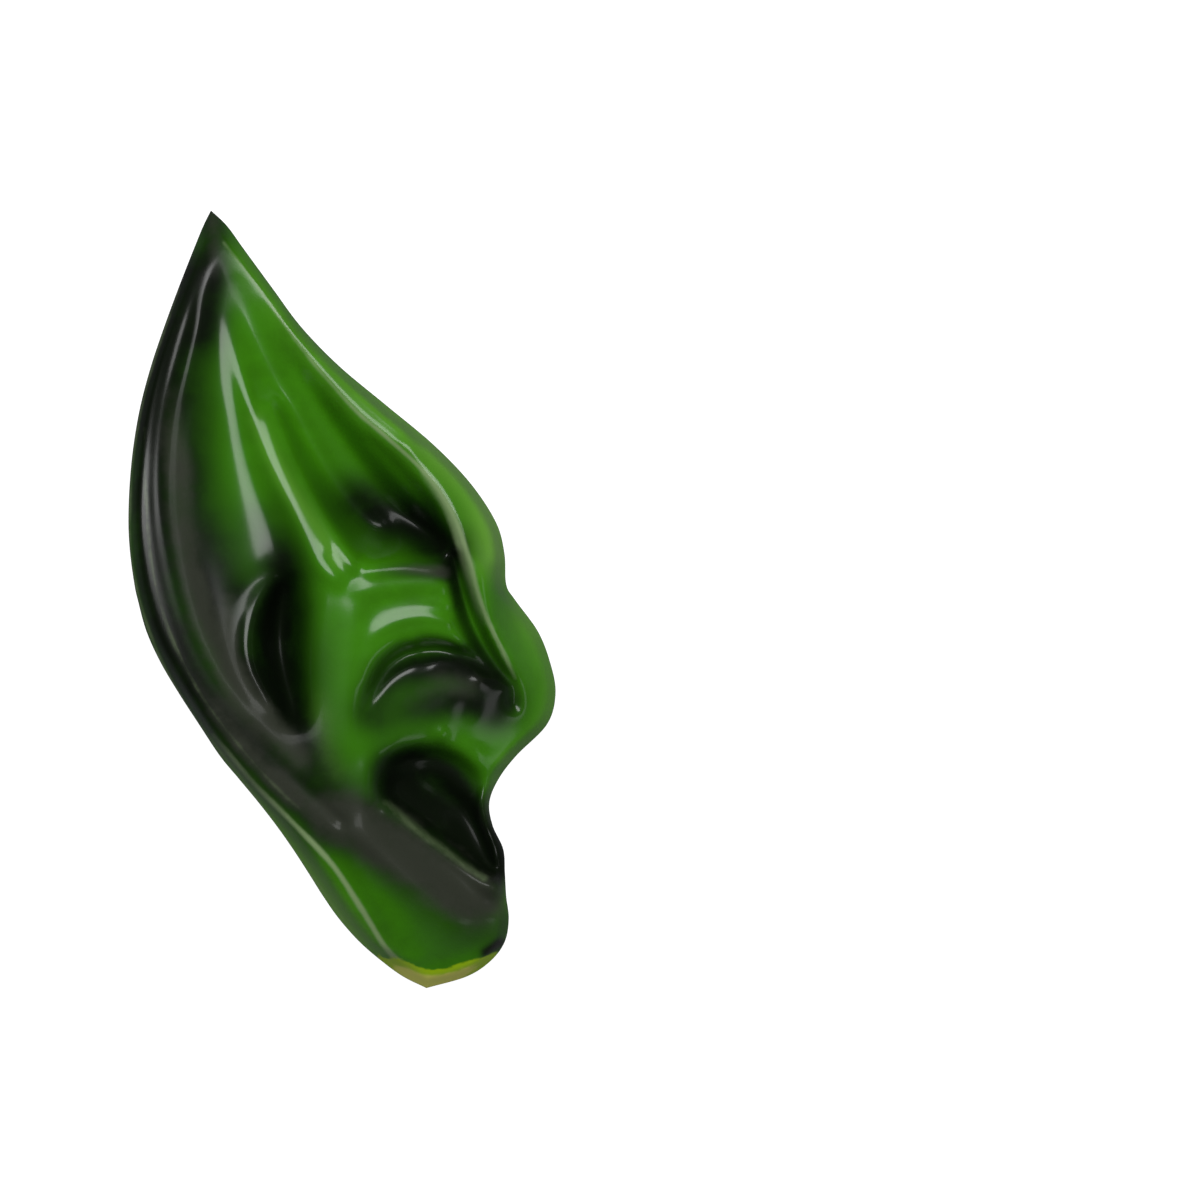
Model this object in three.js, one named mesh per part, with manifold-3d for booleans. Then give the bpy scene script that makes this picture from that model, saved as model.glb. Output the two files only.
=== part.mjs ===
// A pointed costume ear, slush-moulded in one piece of thin latex and worn over the wearer's own ear.
// It lies on its back: the open mouth that the ear goes into is underneath, and the modelled face looks up.
// Millimetres, +Z up, X across the ear from its back edge to its front edge, +Y towards the pointed tip.
// The origin is on the surface that the ear lies on, under the middle of its outline.
import * as THREE from "three";
import { mergeVertices } from "three/addons/utils/BufferGeometryUtils.js";
import Module from "manifold-3d";

// Driving sizes
const LENGTH = 120; // tip to the foot of the lobe
const WIDTH = 65.5; // back edge to the front of the cheek flange
const DEPTH = 30; // what every height share below is a share of
const WALL = 1.8; // thickness of the latex
const EDGE_ROUND = 1.6; // how far in from the outline the face takes to turn over
const TIP_LIFT = 7.5; // how far the underside of the tip stands clear of the table
const MOUTH_DROP = 1; // how far the mouth is cut past the table
const LEAST_HOLLOW = 0.2; // the least height of the hollow where its roof and floor come together

const TIP_LIFT_FROM = 0.42; // where the underside of the tip leaves the table, a share of LENGTH from the tip
const HOLLOW_FROM = 0.05; // the hollow stops short of the point by at least this share of LENGTH
const BACK_REACH = 0.85; // how far in the back takes to reach the table, for each unit of edge height
const STEEP_WALL = 1.5; // how many times thicker the latex is where a wall stands steep
const EDGE_SWELL = 0.8; // how far the face comes down to above the edge, a share of EDGE_ROUND
const EDGE_BREADTH = 0.012; // how broadly the edge holds the face down, a share of WIDTH
const CREST_GIVE = 0.08; // keeps the surface steady where the nearest pieces lie in one line
const GRID = 0.6; // spacing of the grid that the hollow's roof reads the face from
const LEAST_SPAN = 1e-6; // the least width that a share is taken of
const MERGE_WITHIN = 1e-4; // points this near to each other are one

// The outline, a row for each station down the ear. down is a share of LENGTH from the tip; left and
// right are shares of WIDTH from the back edge; left_rim and right_rim are the heights of the edge,
// shares of DEPTH.
const OUTLINE = [
  { down: 0.0, left: 0.19, right: 0.19, left_rim: 0.3, right_rim: 0.3 },
  { down: 0.02, left: 0.172, right: 0.228, left_rim: 0.31, right_rim: 0.31 },
  { down: 0.05, left: 0.15, right: 0.268, left_rim: 0.34, right_rim: 0.33 },
  { down: 0.1, left: 0.115, right: 0.335, left_rim: 0.39, right_rim: 0.34 },
  { down: 0.15, left: 0.082, right: 0.403, left_rim: 0.43, right_rim: 0.34 },
  { down: 0.2, left: 0.052, right: 0.492, left_rim: 0.47, right_rim: 0.34 },
  { down: 0.25, left: 0.028, right: 0.602, left_rim: 0.5, right_rim: 0.34 },
  { down: 0.3, left: 0.012, right: 0.712, left_rim: 0.52, right_rim: 0.34 },
  { down: 0.35, left: 0.003, right: 0.8, left_rim: 0.54, right_rim: 0.33 },
  { down: 0.4, left: 0.0, right: 0.86, left_rim: 0.55, right_rim: 0.3 },
  { down: 0.44, left: 0.004, right: 0.88, left_rim: 0.55, right_rim: 0.26 },
  { down: 0.48, left: 0.014, right: 0.884, left_rim: 0.55, right_rim: 0.2 },
  { down: 0.5, left: 0.022, right: 0.905, left_rim: 0.55, right_rim: 0.14 },
  { down: 0.54, left: 0.042, right: 0.958, left_rim: 0.54, right_rim: 0.08 },
  { down: 0.58, left: 0.075, right: 0.987, left_rim: 0.52, right_rim: 0.05 },
  { down: 0.62, left: 0.118, right: 1.0, left_rim: 0.49, right_rim: 0.04 },
  { down: 0.66, left: 0.165, right: 0.98, left_rim: 0.46, right_rim: 0.04 },
  { down: 0.7, left: 0.213, right: 0.908, left_rim: 0.42, right_rim: 0.05 },
  { down: 0.73, left: 0.258, right: 0.866, left_rim: 0.39, right_rim: 0.07 },
  { down: 0.76, left: 0.303, right: 0.844, left_rim: 0.36, right_rim: 0.13 },
  { down: 0.79, left: 0.345, right: 0.852, left_rim: 0.33, right_rim: 0.16 },
  { down: 0.82, left: 0.383, right: 0.877, left_rim: 0.29, right_rim: 0.19 },
  { down: 0.85, left: 0.418, right: 0.881, left_rim: 0.25, right_rim: 0.22 },
  { down: 0.88, left: 0.452, right: 0.884, left_rim: 0.21, right_rim: 0.22 },
  { down: 0.91, left: 0.49, right: 0.89, left_rim: 0.17, right_rim: 0.2 },
  { down: 0.94, left: 0.538, right: 0.88, left_rim: 0.12, right_rim: 0.15 },
  { down: 0.965, left: 0.59, right: 0.846, left_rim: 0.08, right_rim: 0.09 },
  { down: 0.985, left: 0.64, right: 0.79, left_rim: 0.05, right_rim: 0.05 },
  { down: 1.0, left: 0.695, right: 0.695, left_rim: 0.03, right_rim: 0.03 },
];

// The mouth in the back that the wearer's ear goes into. Where right is past the wall, the wall bounds it.
const MOUTH = [
  { down: 0.46, left: 0.66, right: 0.66 },
  { down: 0.475, left: 0.56, right: 0.76 },
  { down: 0.5, left: 0.48, right: 0.83 },
  { down: 0.54, left: 0.42, right: 0.95 },
  { down: 0.6, left: 0.39, right: 1.0 },
  { down: 0.68, left: 0.41, right: 1.0 },
  { down: 0.76, left: 0.46, right: 1.0 },
  { down: 0.84, left: 0.52, right: 1.0 },
  { down: 0.91, left: 0.59, right: 1.0 },
  { down: 0.96, left: 0.65, right: 1.0 },
  { down: 1.0, left: 0.7, right: 1.0 },
];

// The ridges and hollows of the face. Each point is [across, down, lift]: shares of WIDTH, LENGTH and DEPTH.
// breadth is how broad the crest or floor is, a share of WIDTH.
const FOLDS = [
  {
    name: "back rim crest",
    breadth: 0.028,
    path: [
      [0.197, 0.022, 0.37], [0.168, 0.06, 0.43], [0.135, 0.105, 0.475], [0.1, 0.16, 0.52],
      [0.068, 0.235, 0.58], [0.048, 0.31, 0.63], [0.042, 0.39, 0.655], [0.058, 0.46, 0.667],
      [0.098, 0.54, 0.675], [0.15, 0.602, 0.675], [0.205, 0.655, 0.668], [0.3, 0.72, 0.645],
      [0.4, 0.775, 0.61], [0.475, 0.825, 0.555], [0.54, 0.88, 0.46], [0.6, 0.94, 0.31],
    ],
  },
  {
    name: "groove inside the back rim",
    breadth: 0.018,
    path: [
      [0.17, 0.075, 0.47], [0.14, 0.12, 0.52], [0.112, 0.17, 0.56], [0.086, 0.23, 0.605],
      [0.07, 0.29, 0.64], [0.066, 0.36, 0.662], [0.076, 0.42, 0.672], [0.098, 0.48, 0.678],
      [0.14, 0.55, 0.68], [0.19, 0.602, 0.677], [0.25, 0.643, 0.667], [0.33, 0.693, 0.646],
      [0.42, 0.741, 0.612], [0.5, 0.785, 0.565],
    ],
  },
  {
    name: "ridge from the tip to the shelf",
    breadth: 0.03,
    path: [
      [0.204, 0.028, 0.42], [0.199, 0.05, 0.46], [0.181, 0.08, 0.505], [0.169, 0.108, 0.54],
      [0.163, 0.15, 0.58], [0.143, 0.2, 0.625], [0.12, 0.25, 0.66], [0.108, 0.3, 0.68], [0.106, 0.37, 0.69],
      [0.122, 0.44, 0.694], [0.157, 0.52, 0.7], [0.207, 0.58, 0.7], [0.275, 0.633, 0.695],
      [0.35, 0.683, 0.68], [0.43, 0.733, 0.65], [0.5, 0.773, 0.615],
    ],
  },
  {
    name: "inner side of the shelf",
    breadth: 0.03,
    path: [
      [0.155, 0.25, 0.63], [0.15, 0.3, 0.65], [0.155, 0.38, 0.658], [0.174, 0.45, 0.653],
      [0.198, 0.505, 0.647], [0.222, 0.55, 0.643], [0.25, 0.595, 0.642], [0.295, 0.638, 0.645],
    ],
  },
  {
    name: "long hollow of the scapha",
    breadth: 0.078,
    path: [
      [0.205, 0.09, 0.45], [0.212, 0.15, 0.48], [0.229, 0.23, 0.511], [0.253, 0.3, 0.527],
      [0.281, 0.357, 0.542], [0.311, 0.4, 0.556], [0.337, 0.437, 0.565],
    ],
  },
  {
    name: "pit of the scapha",
    breadth: 0.035,
    path: [
      [0.362, 0.485, 0.4], [0.358, 0.52, 0.32], [0.358, 0.56, 0.3], [0.372, 0.605, 0.34],
      [0.395, 0.645, 0.43],
    ],
  },
  {
    name: "lip of the pit",
    breadth: 0.022,
    path: [
      [0.338, 0.478, 0.6], [0.313, 0.497, 0.632], [0.292, 0.525, 0.663], [0.281, 0.56, 0.686],
      [0.291, 0.592, 0.698], [0.32, 0.62, 0.7], [0.345, 0.64, 0.69],
    ],
  },
  {
    name: "back edge of the upper crus",
    breadth: 0.03,
    path: [
      [0.222, 0.135, 0.495], [0.252, 0.192, 0.54], [0.29, 0.258, 0.595], [0.335, 0.324, 0.645],
      [0.396, 0.39, 0.695], [0.45, 0.45, 0.732], [0.49, 0.475, 0.742],
    ],
  },
  {
    name: "dip along the upper crus",
    breadth: 0.02,
    path: [[0.318, 0.262, 0.578], [0.357, 0.322, 0.624], [0.415, 0.386, 0.67], [0.465, 0.437, 0.718]],
  },
  {
    name: "front edge of the upper crus",
    breadth: 0.024,
    path: [
      [0.335, 0.25, 0.57], [0.381, 0.31, 0.615], [0.442, 0.376, 0.668], [0.495, 0.427, 0.71],
      [0.53, 0.459, 0.725],
    ],
  },
  {
    name: "antihelix",
    breadth: 0.06,
    path: [
      [0.478, 0.49, 0.724], [0.452, 0.53, 0.705], [0.436, 0.57, 0.697], [0.43, 0.61, 0.69],
      [0.44, 0.67, 0.68], [0.47, 0.72, 0.665], [0.52, 0.755, 0.642],
    ],
  },
  {
    name: "front of the antihelix",
    breadth: 0.05,
    path: [[0.52, 0.505, 0.7], [0.515, 0.57, 0.69], [0.515, 0.63, 0.681], [0.525, 0.69, 0.664]],
  },
  {
    name: "lower crus",
    breadth: 0.026,
    path: [[0.56, 0.463, 0.715], [0.61, 0.459, 0.69], [0.66, 0.458, 0.675], [0.73, 0.462, 0.65]],
  },
  {
    name: "triangular hollow",
    breadth: 0.04,
    path: [
      [0.25, 0.085, 0.435], [0.3, 0.16, 0.41], [0.375, 0.25, 0.365], [0.45, 0.33, 0.31],
      [0.53, 0.388, 0.24], [0.6, 0.41, 0.2],
    ],
  },
  {
    name: "front of the triangular hollow",
    breadth: 0.04,
    path: [
      [0.285, 0.095, 0.435], [0.35, 0.16, 0.41], [0.44, 0.24, 0.365], [0.53, 0.315, 0.3],
      [0.61, 0.37, 0.235], [0.69, 0.405, 0.19], [0.735, 0.425, 0.2],
    ],
  },
  {
    name: "ledge in the triangular hollow",
    breadth: 0.024,
    path: [[0.56, 0.295, 0.49], [0.615, 0.323, 0.49], [0.66, 0.35, 0.47], [0.714, 0.388, 0.41]],
  },
  {
    name: "front rim crest",
    breadth: 0.046,
    path: [
      [0.209, 0.028, 0.4], [0.222, 0.0425, 0.43], [0.275, 0.08, 0.47], [0.336, 0.125, 0.51],
      [0.396, 0.171, 0.545], [0.457, 0.212, 0.575], [0.533, 0.258, 0.605], [0.605, 0.292, 0.63],
      [0.699, 0.34, 0.665], [0.76, 0.39, 0.685], [0.798, 0.4485, 0.685], [0.82, 0.494, 0.645],
      [0.845, 0.53, 0.59], [0.876, 0.566, 0.51], [0.905, 0.6, 0.42], [0.923, 0.645, 0.3],
    ],
  },
  {
    name: "groove outside the front rim",
    breadth: 0.014,
    path: [
      [0.29, 0.0715, 0.43], [0.351, 0.117, 0.474], [0.4265, 0.171, 0.514], [0.5024, 0.2207, 0.548],
      [0.5706, 0.258, 0.58], [0.645, 0.291, 0.612],
    ],
  },
  {
    name: "inner side of the front rim",
    breadth: 0.03,
    path: [
      [0.263, 0.088, 0.45], [0.324, 0.133, 0.487], [0.384, 0.179, 0.522], [0.445, 0.22, 0.552],
      [0.521, 0.266, 0.582], [0.593, 0.3, 0.607], [0.685, 0.348, 0.642], [0.744, 0.396, 0.66],
      [0.779, 0.452, 0.655],
    ],
  },
  {
    name: "front shoulder",
    breadth: 0.03,
    path: [[0.7, 0.305, 0.585], [0.77, 0.345, 0.6], [0.825, 0.395, 0.59], [0.85, 0.445, 0.53]],
  },
  {
    name: "crease behind the front rim",
    breadth: 0.018,
    path: [
      [0.765, 0.44, 0.36], [0.775, 0.475, 0.32], [0.795, 0.51, 0.28], [0.825, 0.55, 0.25],
      [0.865, 0.585, 0.22], [0.9, 0.61, 0.2], [0.905, 0.64, 0.19],
    ],
  },
  {
    name: "cheek flange",
    breadth: 0.05,
    path: [
      [0.9, 0.515, 0.26], [0.945, 0.56, 0.22], [0.965, 0.61, 0.2], [0.95, 0.66, 0.2], [0.9, 0.69, 0.26],
      [0.855, 0.72, 0.33],
    ],
  },
  {
    name: "under the lower crus",
    breadth: 0.026,
    path: [
      [0.53, 0.488, 0.703], [0.58, 0.482, 0.679], [0.64, 0.479, 0.658], [0.7, 0.479, 0.645],
      [0.755, 0.484, 0.63],
    ],
  },
  {
    name: "hollow between crus and arch",
    breadth: 0.018,
    path: [[0.56, 0.527, 0.661], [0.612, 0.508, 0.641], [0.69, 0.499, 0.628], [0.76, 0.506, 0.612]],
  },
  {
    name: "upper side of the arch",
    breadth: 0.018,
    path: [
      [0.553, 0.562, 0.664], [0.577, 0.547, 0.666], [0.62, 0.53, 0.656], [0.69, 0.522, 0.643],
      [0.755, 0.53, 0.627],
    ],
  },
  {
    name: "arch over the upper bowl",
    breadth: 0.02,
    path: [
      [0.545, 0.605, 0.665], [0.56, 0.576, 0.664], [0.59, 0.556, 0.652], [0.633, 0.543, 0.64],
      [0.69, 0.537, 0.632], [0.75, 0.543, 0.612], [0.788, 0.557, 0.58],
    ],
  },
  {
    name: "crease of the upper bowl",
    breadth: 0.014,
    path: [
      [0.552, 0.655, 0.62], [0.572, 0.618, 0.54], [0.607, 0.587, 0.48], [0.66, 0.568, 0.44],
      [0.72, 0.563, 0.43], [0.79, 0.572, 0.4], [0.85, 0.592, 0.33],
    ],
  },
  {
    name: "fold under the crease",
    breadth: 0.02,
    path: [[0.558, 0.668, 0.6], [0.593, 0.638, 0.56], [0.645, 0.606, 0.53], [0.717, 0.584, 0.515]],
  },
  {
    name: "hollow under that fold",
    breadth: 0.03,
    path: [[0.6, 0.665, 0.56], [0.65, 0.642, 0.515], [0.7, 0.62, 0.49], [0.76, 0.602, 0.46]],
  },
  {
    name: "crus of the helix",
    breadth: 0.04,
    path: [
      [0.64, 0.672, 0.52], [0.7, 0.655, 0.49], [0.76, 0.64, 0.465], [0.82, 0.628, 0.43],
      [0.865, 0.63, 0.36],
    ],
  },
  {
    name: "upper lip of the bowl",
    breadth: 0.03,
    path: [
      [0.6, 0.692, 0.61], [0.64, 0.682, 0.54], [0.69, 0.678, 0.48], [0.74, 0.68, 0.44], [0.795, 0.692, 0.4],
      [0.825, 0.71, 0.37],
    ],
  },
  {
    name: "foot of the upper wall",
    breadth: 0.026,
    path: [
      [0.628, 0.712, 0.4], [0.66, 0.705, 0.31], [0.72, 0.703, 0.26], [0.775, 0.717, 0.24],
      [0.803, 0.745, 0.24],
    ],
  },
  {
    name: "floor of the deep bowl",
    breadth: 0.07,
    path: [
      [0.65, 0.725, 0.27], [0.69, 0.748, 0.2], [0.745, 0.772, 0.16], [0.79, 0.796, 0.14],
      [0.83, 0.82, 0.13],
    ],
  },
  {
    name: "foot of the antitragus wall",
    breadth: 0.03,
    path: [
      [0.612, 0.735, 0.36], [0.63, 0.757, 0.29], [0.67, 0.775, 0.24], [0.725, 0.799, 0.21],
      [0.79, 0.825, 0.19], [0.845, 0.848, 0.2],
    ],
  },
  {
    name: "back lip of the bowl",
    breadth: 0.045,
    path: [[0.575, 0.7, 0.65], [0.567, 0.73, 0.65], [0.578, 0.755, 0.645]],
  },
  {
    name: "antitragus lip",
    breadth: 0.022,
    path: [
      [0.6, 0.763, 0.665], [0.64, 0.782, 0.645], [0.7, 0.807, 0.61], [0.77, 0.835, 0.565],
      [0.84, 0.861, 0.51], [0.872, 0.868, 0.47],
    ],
  },
  {
    name: "tragus wall",
    breadth: 0.018,
    path: [
      [0.862, 0.735, 0.36], [0.838, 0.76, 0.38], [0.845, 0.785, 0.37], [0.862, 0.81, 0.35],
      [0.872, 0.838, 0.33],
    ],
  },
  {
    name: "lobe",
    breadth: 0.12,
    path: [
      [0.56, 0.795, 0.636], [0.64, 0.84, 0.607], [0.72, 0.875, 0.56], [0.79, 0.905, 0.5],
      [0.83, 0.922, 0.45],
    ],
  },
  {
    name: "furrow beside the lobe",
    breadth: 0.035,
    path: [[0.53, 0.835, 0.57], [0.585, 0.88, 0.49], [0.635, 0.925, 0.38], [0.68, 0.955, 0.26]],
  },
  {
    name: "foot of the lobe",
    breadth: 0.03,
    path: [
      [0.69, 0.975, 0.2], [0.75, 0.972, 0.23], [0.82, 0.955, 0.28], [0.86, 0.93, 0.34], [0.872, 0.9, 0.4],
    ],
  },
];

// How finely the skins are faceted. Rows are counted between the stations down the ear that end each band.
const MOUTH_TOP = MOUTH[0].down;
const FACE_BANDS = [
  { to: 0.04, rows: 4 },
  { to: 0.44, rows: 17 },
  { to: 0.88, rows: 34 },
  { to: 0.96, rows: 5 },
  { to: 1.0, rows: 6 },
];
const HOLLOW_BANDS = [
  { to: MOUTH_TOP, rows: 17 },
  { to: MOUTH_TOP + 0.02, rows: 3 },
  { to: 0.9, rows: 24 },
  { to: 1.0, rows: 6 },
];
const FACE_COLUMNS = 42;
const HOLLOW_COLUMNS = 30;
const EDGE_STEPS = 3; // columns across the turn at each edge of the face
const BACK_STEPS = 4; // columns across the turn at each edge of the back
const FLAT_STEPS = 3; // columns across the flat of the back, on each side of the mouth
const STEPS_PER_SPAN = 8; // points that a curve gets between two rows of its table
const INSET_STEPS = 8; // places looked at on each side of a station to move the outline in
const CLOSING_STEPS = 40; // halvings that find where the hollow closes
const WALL_RINGS = [
  { share: 0.35, count: 6 },
  { share: 0.7, count: 10 },
  { share: 1, count: 12 },
]; // places round a point where the wall is measured, on rings at shares of its reach

const lerp = THREE.MathUtils.lerp;
const clamp01 = (value) => THREE.MathUtils.clamp(value, 0, 1);
const acrossToX = (share) => (share - 0.5) * WIDTH;
const downToY = (share) => (0.5 - share) * LENGTH;

// Rows of numbers on a Catmull-Rom curve through the rows of a table, whatever their number of columns
function smoothRows(rows) {
  const at = (index) => {
    if (index < 0) return rows[0].map((value, c) => 2 * value - rows[1][c]);
    if (index >= rows.length) return rows.at(-1).map((value, c) => 2 * value - rows.at(-2)[c]);
    return rows[index];
  };
  const smooth = [];
  for (let k = 0; k < rows.length - 1; k++) {
    const [a, b, c, d] = [at(k - 1), at(k), at(k + 1), at(k + 2)];
    for (let step = 0; step < STEPS_PER_SPAN; step++) {
      const t = step / STEPS_PER_SPAN;
      smooth.push(
        b.map((value, i) => {
          const slope = c[i] - a[i];
          const bend = 2 * a[i] - 5 * value + 4 * c[i] - d[i];
          const twist = 3 * value - a[i] - 3 * c[i] + d[i];
          return 0.5 * (2 * value + slope * t + bend * t * t + twist * t * t * t);
        }),
      );
    }
  }
  smooth.push(rows.at(-1));
  return smooth;
}

// Reads a smoothed table by its first column
function lookUp(rows, down) {
  if (down <= rows[0][0]) return rows[0];
  const above = rows.findIndex((row) => row[0] >= down);
  if (above < 0) return rows.at(-1);
  const [low, high] = [rows[above - 1], rows[above]];
  const t = (down - low[0]) / (high[0] - low[0]);
  return low.map((value, c) => lerp(value, high[c], t));
}

const outlineRows = smoothRows(OUTLINE.map((r) => [r.down, r.left, r.right, r.left_rim, r.right_rim]));
const mouthRows = smoothRows(MOUTH.map((r) => [r.down, r.left, r.right]));

// One station of the outline in millimetres
function stationAt(y) {
  const [, left, right, leftRim, rightRim] = lookUp(outlineRows, 0.5 - y / LENGTH);
  return {
    left: acrossToX(left),
    right: acrossToX(right),
    leftRim: leftRim * DEPTH,
    rightRim: rightRim * DEPTH,
  };
}

// The outline as short straight pieces, down its back edge and then down its front edge
const outlinePieces = [1, 2].flatMap((side) => {
  const points = outlineRows.map((row) => ({ x: acrossToX(row[side]), y: downToY(row[0]) }));
  return points.slice(1).map((end, k) => {
    const start = points[k];
    return { start, dx: end.x - start.x, dy: end.y - start.y };
  });
});

function distanceToOutline(x, y) {
  let nearest = Infinity;
  for (const { start, dx, dy } of outlinePieces) {
    const along = clamp01(((x - start.x) * dx + (y - start.y) * dy) / (dx * dx + dy * dy));
    nearest = Math.min(nearest, Math.hypot(start.x + along * dx - x, start.y + along * dy - y));
  }
  return nearest;
}

// A path as short pieces, each with its place, height, breadth and the length that it stands for
function piecesAlong(points, breadth) {
  return points.slice(1).map((end, k) => {
    const start = points[k];
    const [x, y, z] = end.map((value, axis) => (value + start[axis]) / 2);
    return { x, y, z, breadth, run: Math.hypot(end[0] - start[0], end[1] - start[1]) };
  });
}

// The folds, and the outline too, so that the skin comes down to it from the nearest folds
const pieces = [
  ...FOLDS.flatMap(({ breadth, path }) => {
    const points = smoothRows(path).map(([across, down, lift]) => {
      return [acrossToX(across), downToY(down), lift * DEPTH];
    });
    return piecesAlong(points, breadth * WIDTH);
  }),
  ...[1, 2].flatMap((side) => {
    const heightOf = (row) => row[side + 2] * DEPTH + EDGE_SWELL * EDGE_ROUND;
    const points = outlineRows.map((row) => [acrossToX(row[side]), downToY(row[0]), heightOf(row)]);
    return piecesAlong(points, EDGE_BREADTH * WIDTH);
  }),
];

// The modelled surface: a small plane is laid through the pieces round each place, and the nearest count most
function modelledHeight(x, y) {
  let [w, wx, wy, wz, wxx, wyy, wxy, wxz, wyz] = [0, 0, 0, 0, 0, 0, 0, 0, 0];
  for (const piece of pieces) {
    const dx = piece.x - x;
    const dy = piece.y - y;
    const spread = dx * dx + dy * dy + piece.breadth * piece.breadth;
    const weight = (piece.run * piece.breadth ** 3) / (spread * spread);
    w += weight;
    wx += weight * dx;
    wy += weight * dy;
    wz += weight * piece.z;
    wxx += weight * dx * dx;
    wyy += weight * dy * dy;
    wxy += weight * dx * dy;
    wxz += weight * dx * piece.z;
    wyz += weight * dy * piece.z;
  }
  wxx += CREST_GIVE ** 2 * w;
  wyy += CREST_GIVE ** 2 * w;
  const cross = wxx * wyy - wxy * wxy;
  const top = wz * cross - wx * (wxz * wyy - wxy * wyz) + wy * (wxz * wxy - wxx * wyz);
  return top / (w * cross - wx * (wx * wyy - wxy * wy) + wy * (wx * wxy - wxx * wy));
}

// 0 at the outline, 1 from a given distance inwards, along a quarter circle
const turnOver = (distance, reach) => Math.sqrt(1 - (1 - clamp01(distance / reach)) ** 2);

function rimHeight(x, station) {
  const share = clamp01((x - station.left) / Math.max(station.right - station.left, LEAST_SPAN));
  return lerp(station.leftRim, station.rightRim, share * share * (3 - 2 * share));
}

function faceHeight(x, y) {
  const rim = rimHeight(x, stationAt(y));
  return lerp(rim, modelledHeight(x, y), turnOver(distanceToOutline(x, y), EDGE_ROUND));
}

// The face's height read from a grid, which is quick enough for the many probes of the hollow's roof
const gridHeights = new Map();

function gridHeight(column, row) {
  const key = `${column},${row}`;
  if (!gridHeights.has(key)) {
    gridHeights.set(key, faceHeight(column * GRID - WIDTH / 2, row * GRID - LENGTH / 2));
  }
  return gridHeights.get(key);
}

function readFaceHeight(x, y) {
  const [u, v] = [(x + WIDTH / 2) / GRID, (y + LENGTH / 2) / GRID];
  const [column, row] = [Math.floor(u), Math.floor(v)];
  const low = lerp(gridHeight(column, row), gridHeight(column + 1, row), u - column);
  const high = lerp(gridHeight(column, row + 1), gridHeight(column + 1, row + 1), u - column);
  return lerp(low, high, v - row);
}

// How far the underside stands clear of the table: nothing but under the tip
function undersideLift(y) {
  return TIP_LIFT * clamp01(1 - (0.5 - y / LENGTH) / TIP_LIFT_FROM) ** 2;
}

// How far in from each edge the back takes to reach its lowest
function backReaches(y, { left, right, leftRim, rightRim }) {
  const halfway = Math.max((right - left) / 2, LEAST_SPAN);
  const lift = undersideLift(y);
  return [leftRim, rightRim].map((rim) => Math.min((rim - lift) * BACK_REACH, halfway));
}

// The back rises from the table to the edge on each side
function backHeight(x, y) {
  const station = stationAt(y);
  const [leftReach, rightReach] = backReaches(y, station);
  const lift = undersideLift(y);
  const leftRise = (station.leftRim - lift) * (1 - turnOver(x - station.left, leftReach));
  const rightRise = (station.rightRim - lift) * (1 - turnOver(station.right - x, rightReach));
  return lift + leftRise + rightRise;
}

// Places on rings around a point, with the drop that keeps a flattened ball of latex inside the skin
const wallProbes = [{ dx: 0, dy: 0, drop: WALL }];
for (const { share, count } of WALL_RINGS) {
  const radius = share * STEEP_WALL * WALL;
  const drop = WALL * Math.sqrt(1 - share ** 2);
  for (let k = 0; k < count; k++) {
    const angle = (2 * Math.PI * k) / count;
    wallProbes.push({ dx: radius * Math.cos(angle), dy: radius * Math.sin(angle), drop });
  }
}

function isInside(x, y) {
  const station = stationAt(y);
  return Math.abs(y) < LENGTH / 2 && x > station.left && x < station.right;
}

// The hollow's roof: as high as it can be and still leave a wall under every part of the face
function roofHeight(x, y) {
  const heights = wallProbes
    .filter(({ dx, dy }) => isInside(x + dx, y + dy))
    .map(({ dx, dy, drop }) => readFaceHeight(x + dx, y + dy) - drop);
  return Math.min(...heights);
}

// The hollow's floor, a wall above the back
function hollowFloorHeight(x, y) {
  const heights = wallProbes
    .filter(({ dx, dy }) => isInside(x + dx, y + dy))
    .map(({ dx, dy, drop }) => backHeight(x + dx, y + dy) + drop);
  return Math.max(...heights);
}

// The outline moved in by the wall, at one station
function innerStationAt(y) {
  const inner = { ...stationAt(y) };
  for (let k = -INSET_STEPS; k <= INSET_STEPS; k++) {
    const dy = (WALL * k) / INSET_STEPS;
    const reach = Math.sqrt(WALL ** 2 - dy ** 2);
    const beside = stationAt(THREE.MathUtils.clamp(y + dy, -LENGTH / 2, LENGTH / 2));
    inner.left = Math.max(inner.left, beside.left + reach);
    inner.right = Math.min(inner.right, beside.right - reach);
  }
  return inner;
}

// Stations down the ear for a table of bands, between two ends
function stationShares(bands, first, last) {
  const shares = [first];
  for (const { to, rows } of bands) {
    const start = shares.at(-1);
    const end = Math.min(to, last);
    for (let k = 1; k <= rows; k++) shares.push(lerp(start, end, k / rows));
  }
  return shares;
}

function evenPlaces(from, to, steps) {
  return Array.from({ length: steps + 1 }, (_, k) => lerp(from, to, k / steps));
}

// Places that crowd towards the first end, as equal steps round a quarter circle do
function turnPlaces(from, to, steps) {
  return Array.from({ length: steps + 1 }, (_, k) => lerp(from, to, 1 - Math.cos((Math.PI * k) / steps / 2)));
}

// Places from left to right across a face that turns over at each edge
function facePlaces(left, right, count) {
  const edge = Math.min(EDGE_ROUND, (right - left) / 4);
  const between = evenPlaces(left + edge, right - edge, count - 2 * EDGE_STEPS - 1);
  const leftTurn = turnPlaces(left, left + edge, EDGE_STEPS).slice(0, -1);
  const rightTurn = turnPlaces(right, right - edge, EDGE_STEPS).slice(0, -1);
  return [...leftTurn, ...between, ...rightTurn.reverse()];
}

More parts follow.
